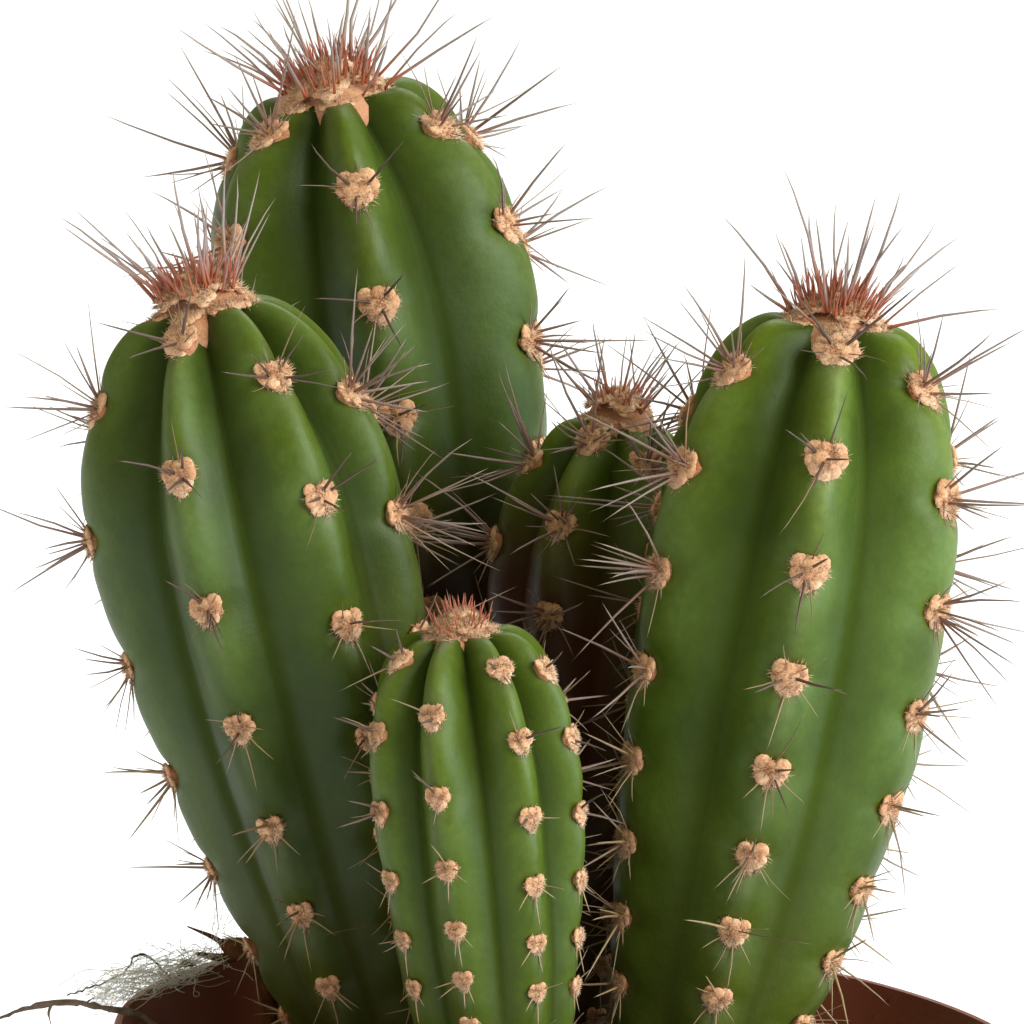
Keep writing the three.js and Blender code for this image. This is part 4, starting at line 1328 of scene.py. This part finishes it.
def wire(name, lines, radius, sides):
    """Round wires along lines of points in millimetres; each line is (points, share of radius)."""
    start_clean()
    bpy.ops.curve.primitive_bezier_curve_add()
    strand = bpy.context.object
    strand.name = strand.data.name = name
    strand.data.splines.clear()
    for points, shares in lines:
        spline = strand.data.splines.new("BEZIER")
        spline.bezier_points.add(len(points) - 1)
        for knot, point, share in zip(spline.bezier_points, points, shares):
            knot.co = Vector(point) * MM
            knot.radius = share
            knot.handle_left_type = knot.handle_right_type = "AUTO"
    strand.data.bevel_depth = radius * MM
    strand.data.bevel_resolution = sides
    strand.data.resolution_u = 6
    strand.data.use_fill_caps = True
    bpy.ops.object.convert(target="MESH")
    strand = bpy.context.object
    bpy.ops.object.mode_set(mode="EDIT")
    close_mesh()
    strand.data.shade_smooth()
    return strand


main_root = (ROOT_PATH, (1.3, 1.2, 1.1, 0.9, 1.1, 0.75, 0.4))
rootlets = [
    (((-67.8, -5, 99.4), (-68, -5.2, 97.9), (-67.6, -5.3, 96.4)), (0.4, 0.3, 0.1)),
    (((-65.4, -4, 99.3), (-64.2, -1, 98.4), (-62.9, 3, 98.3)), (0.7, 0.45, 0.15)),
    (((-66.2, 0, 99.1), (-63.6, 6, 98.9), (-60.2, 12, 99.3), (-59.4, 13, 99.8)),
     (0.2, 0.25, 0.3, 0.3)),
    (((-59.4, 13, 99.8), (-58.5, 14, 101.3), (-57.2, 15, 101.3), (-53.6, 14, 98.8)),
     (0.3, 0.35, 0.35, 0.3)),
]


NOISE_SEED = 1  # without it noise_vector gives other values each time Blender starts


def gnarled(strand, size, depth):
    """Pushes a strand's points about, so that it is knotty."""
    points = read_points(strand)
    strays = np.array([noise.noise_vector(Vector(p * size)) for p in points])
    write_points(strand, points + depth * strays)


noise.seed_set(NOISE_SEED)
root = wire("dry_root", [main_root, *rootlets], 0.42, 4)
gnarled(root, 1.1, 0.28)
chip = wire("bark_chip", [
    (((-40.5, 18.5, 86), (-41, 18.5, 96), (-42.6, 18.6, 100.4), (-45.6, 18.6, 102.2),
      (-47.6, 18.4, 103.1), (-52, 18, 105)), (2.2, 2.6, 4.2, 3.6, 0.9, 0.2)),
    (((-50.8, 18, 101.1), (-49, 18.2, 100.9), (-45.5, 18.5, 101.2)), (0.4, 1.2, 2.0)),
    (((-53, 16, 99.6), (-51.8, 16.5, 100.3), (-50.6, 17, 100.1)), (0.3, 1.2, 0.5)),
], 0.42, 4)
gnarled(chip, 0.35, 0.4)

dry = Finish("dry_root_bark", Roughness=0.88, Specular_IOR_Level=0.2)
fibrous = dry.noise(260, 4, 0.7)
bark = dry.mix(dry.span(fibrous, 0.3, 0.7), (0.050, 0.034, 0.026), (0.190, 0.140, 0.105))
dry_finish = dry.done(Base_Color=bark, Normal=dry.bump(dry.noise(1200, 4, 0.7), 0.0004, 0.9))
dress(root, dry_finish, "dry_root", "dry_root_strand")
chipped = Finish("chip_bark", Roughness=0.85, Specular_IOR_Level=0.2)
splintered = chipped.span(chipped.noise(420, 4, 0.7), 0.3, 0.7)
rust = chipped.mix(splintered, (0.045, 0.016, 0.008), (0.200, 0.080, 0.035))
dress(chip, chipped.done(Base_Color=rust), "dry_root")
print(root.name, len(root.data.polygons), "faces,", chip.name, len(chip.data.polygons))

# %% [markdown]
# The cobweb is many fine wires. Each wanders from the root or the rim towards the stem's foot.

# %% Spin the grey fibres
FIBRES = 190
WISPS = 16
FIBRE_STEPS = 7
LOWEST_FIBRE = 95.4
WEB = ((-64, 5, 97.6), (-60.5, 9, 98.2), (-56.5, 14, 99.4), (-51, 17.5, 100), (-46.5, 18.5, 101))


def wandering(start, end, rng, sway):
    """A line of points from start to end that strays by about sway."""
    t = np.linspace(0, 1, FIBRE_STEPS)[:, None]
    line = np.array(start) * (1 - t) + np.array(end) * t
    stray = np.cumsum(rng.normal(0, sway / FIBRE_STEPS**0.5, (FIBRE_STEPS, 3)), 0)
    return line + (stray - t * stray[-1]) * np.array((1, 0.8, 1))


rng = np.random.default_rng(77)
web = np.array(WEB)
lines = []
for _ in range(FIBRES):
    at = np.sort(rng.uniform(0, len(web) - 1, 2))
    ends = [
        np.array([np.interp(a, range(len(web)), web[:, i]) for i in range(3)]) for a in at
    ]
    ends = [end + rng.normal(0, (1.4, 1.6, 1.3)) for end in ends]
    points = wandering(*ends, rng, 1.8)
    points[:, 2] = np.maximum(points[:, 2], LOWEST_FIBRE)
    lines.append((points, np.full(len(points), rng.uniform(0.5, 1.2))))
for _ in range(WISPS):
    foot = np.array((-47.5, 17.5, 102)) + rng.normal(0, (1.2, 0.5, 0.8))
    points = wandering(foot, foot + (0.8, -0.5, 6) + rng.normal(0, (1.4, 0.4, 1.6)), rng, 1.2)
    lines.append((points, np.full(len(points), 0.6)))
fibres = wire("grey_fibres", lines, 0.045, 0)
ash = Finish("grey_fibre", Roughness=0.8, Subsurface_Weight=0.2)
ash_tone = ash.mix(ash.noise(300), (0.80, 0.79, 0.77), (0.97, 0.96, 0.95))
dress(fibres, ash.done(Base_Color=ash_tone), "dry_root")
print(fibres.name, FIBRES, "fibres,", len(fibres.data.polygons), "faces")
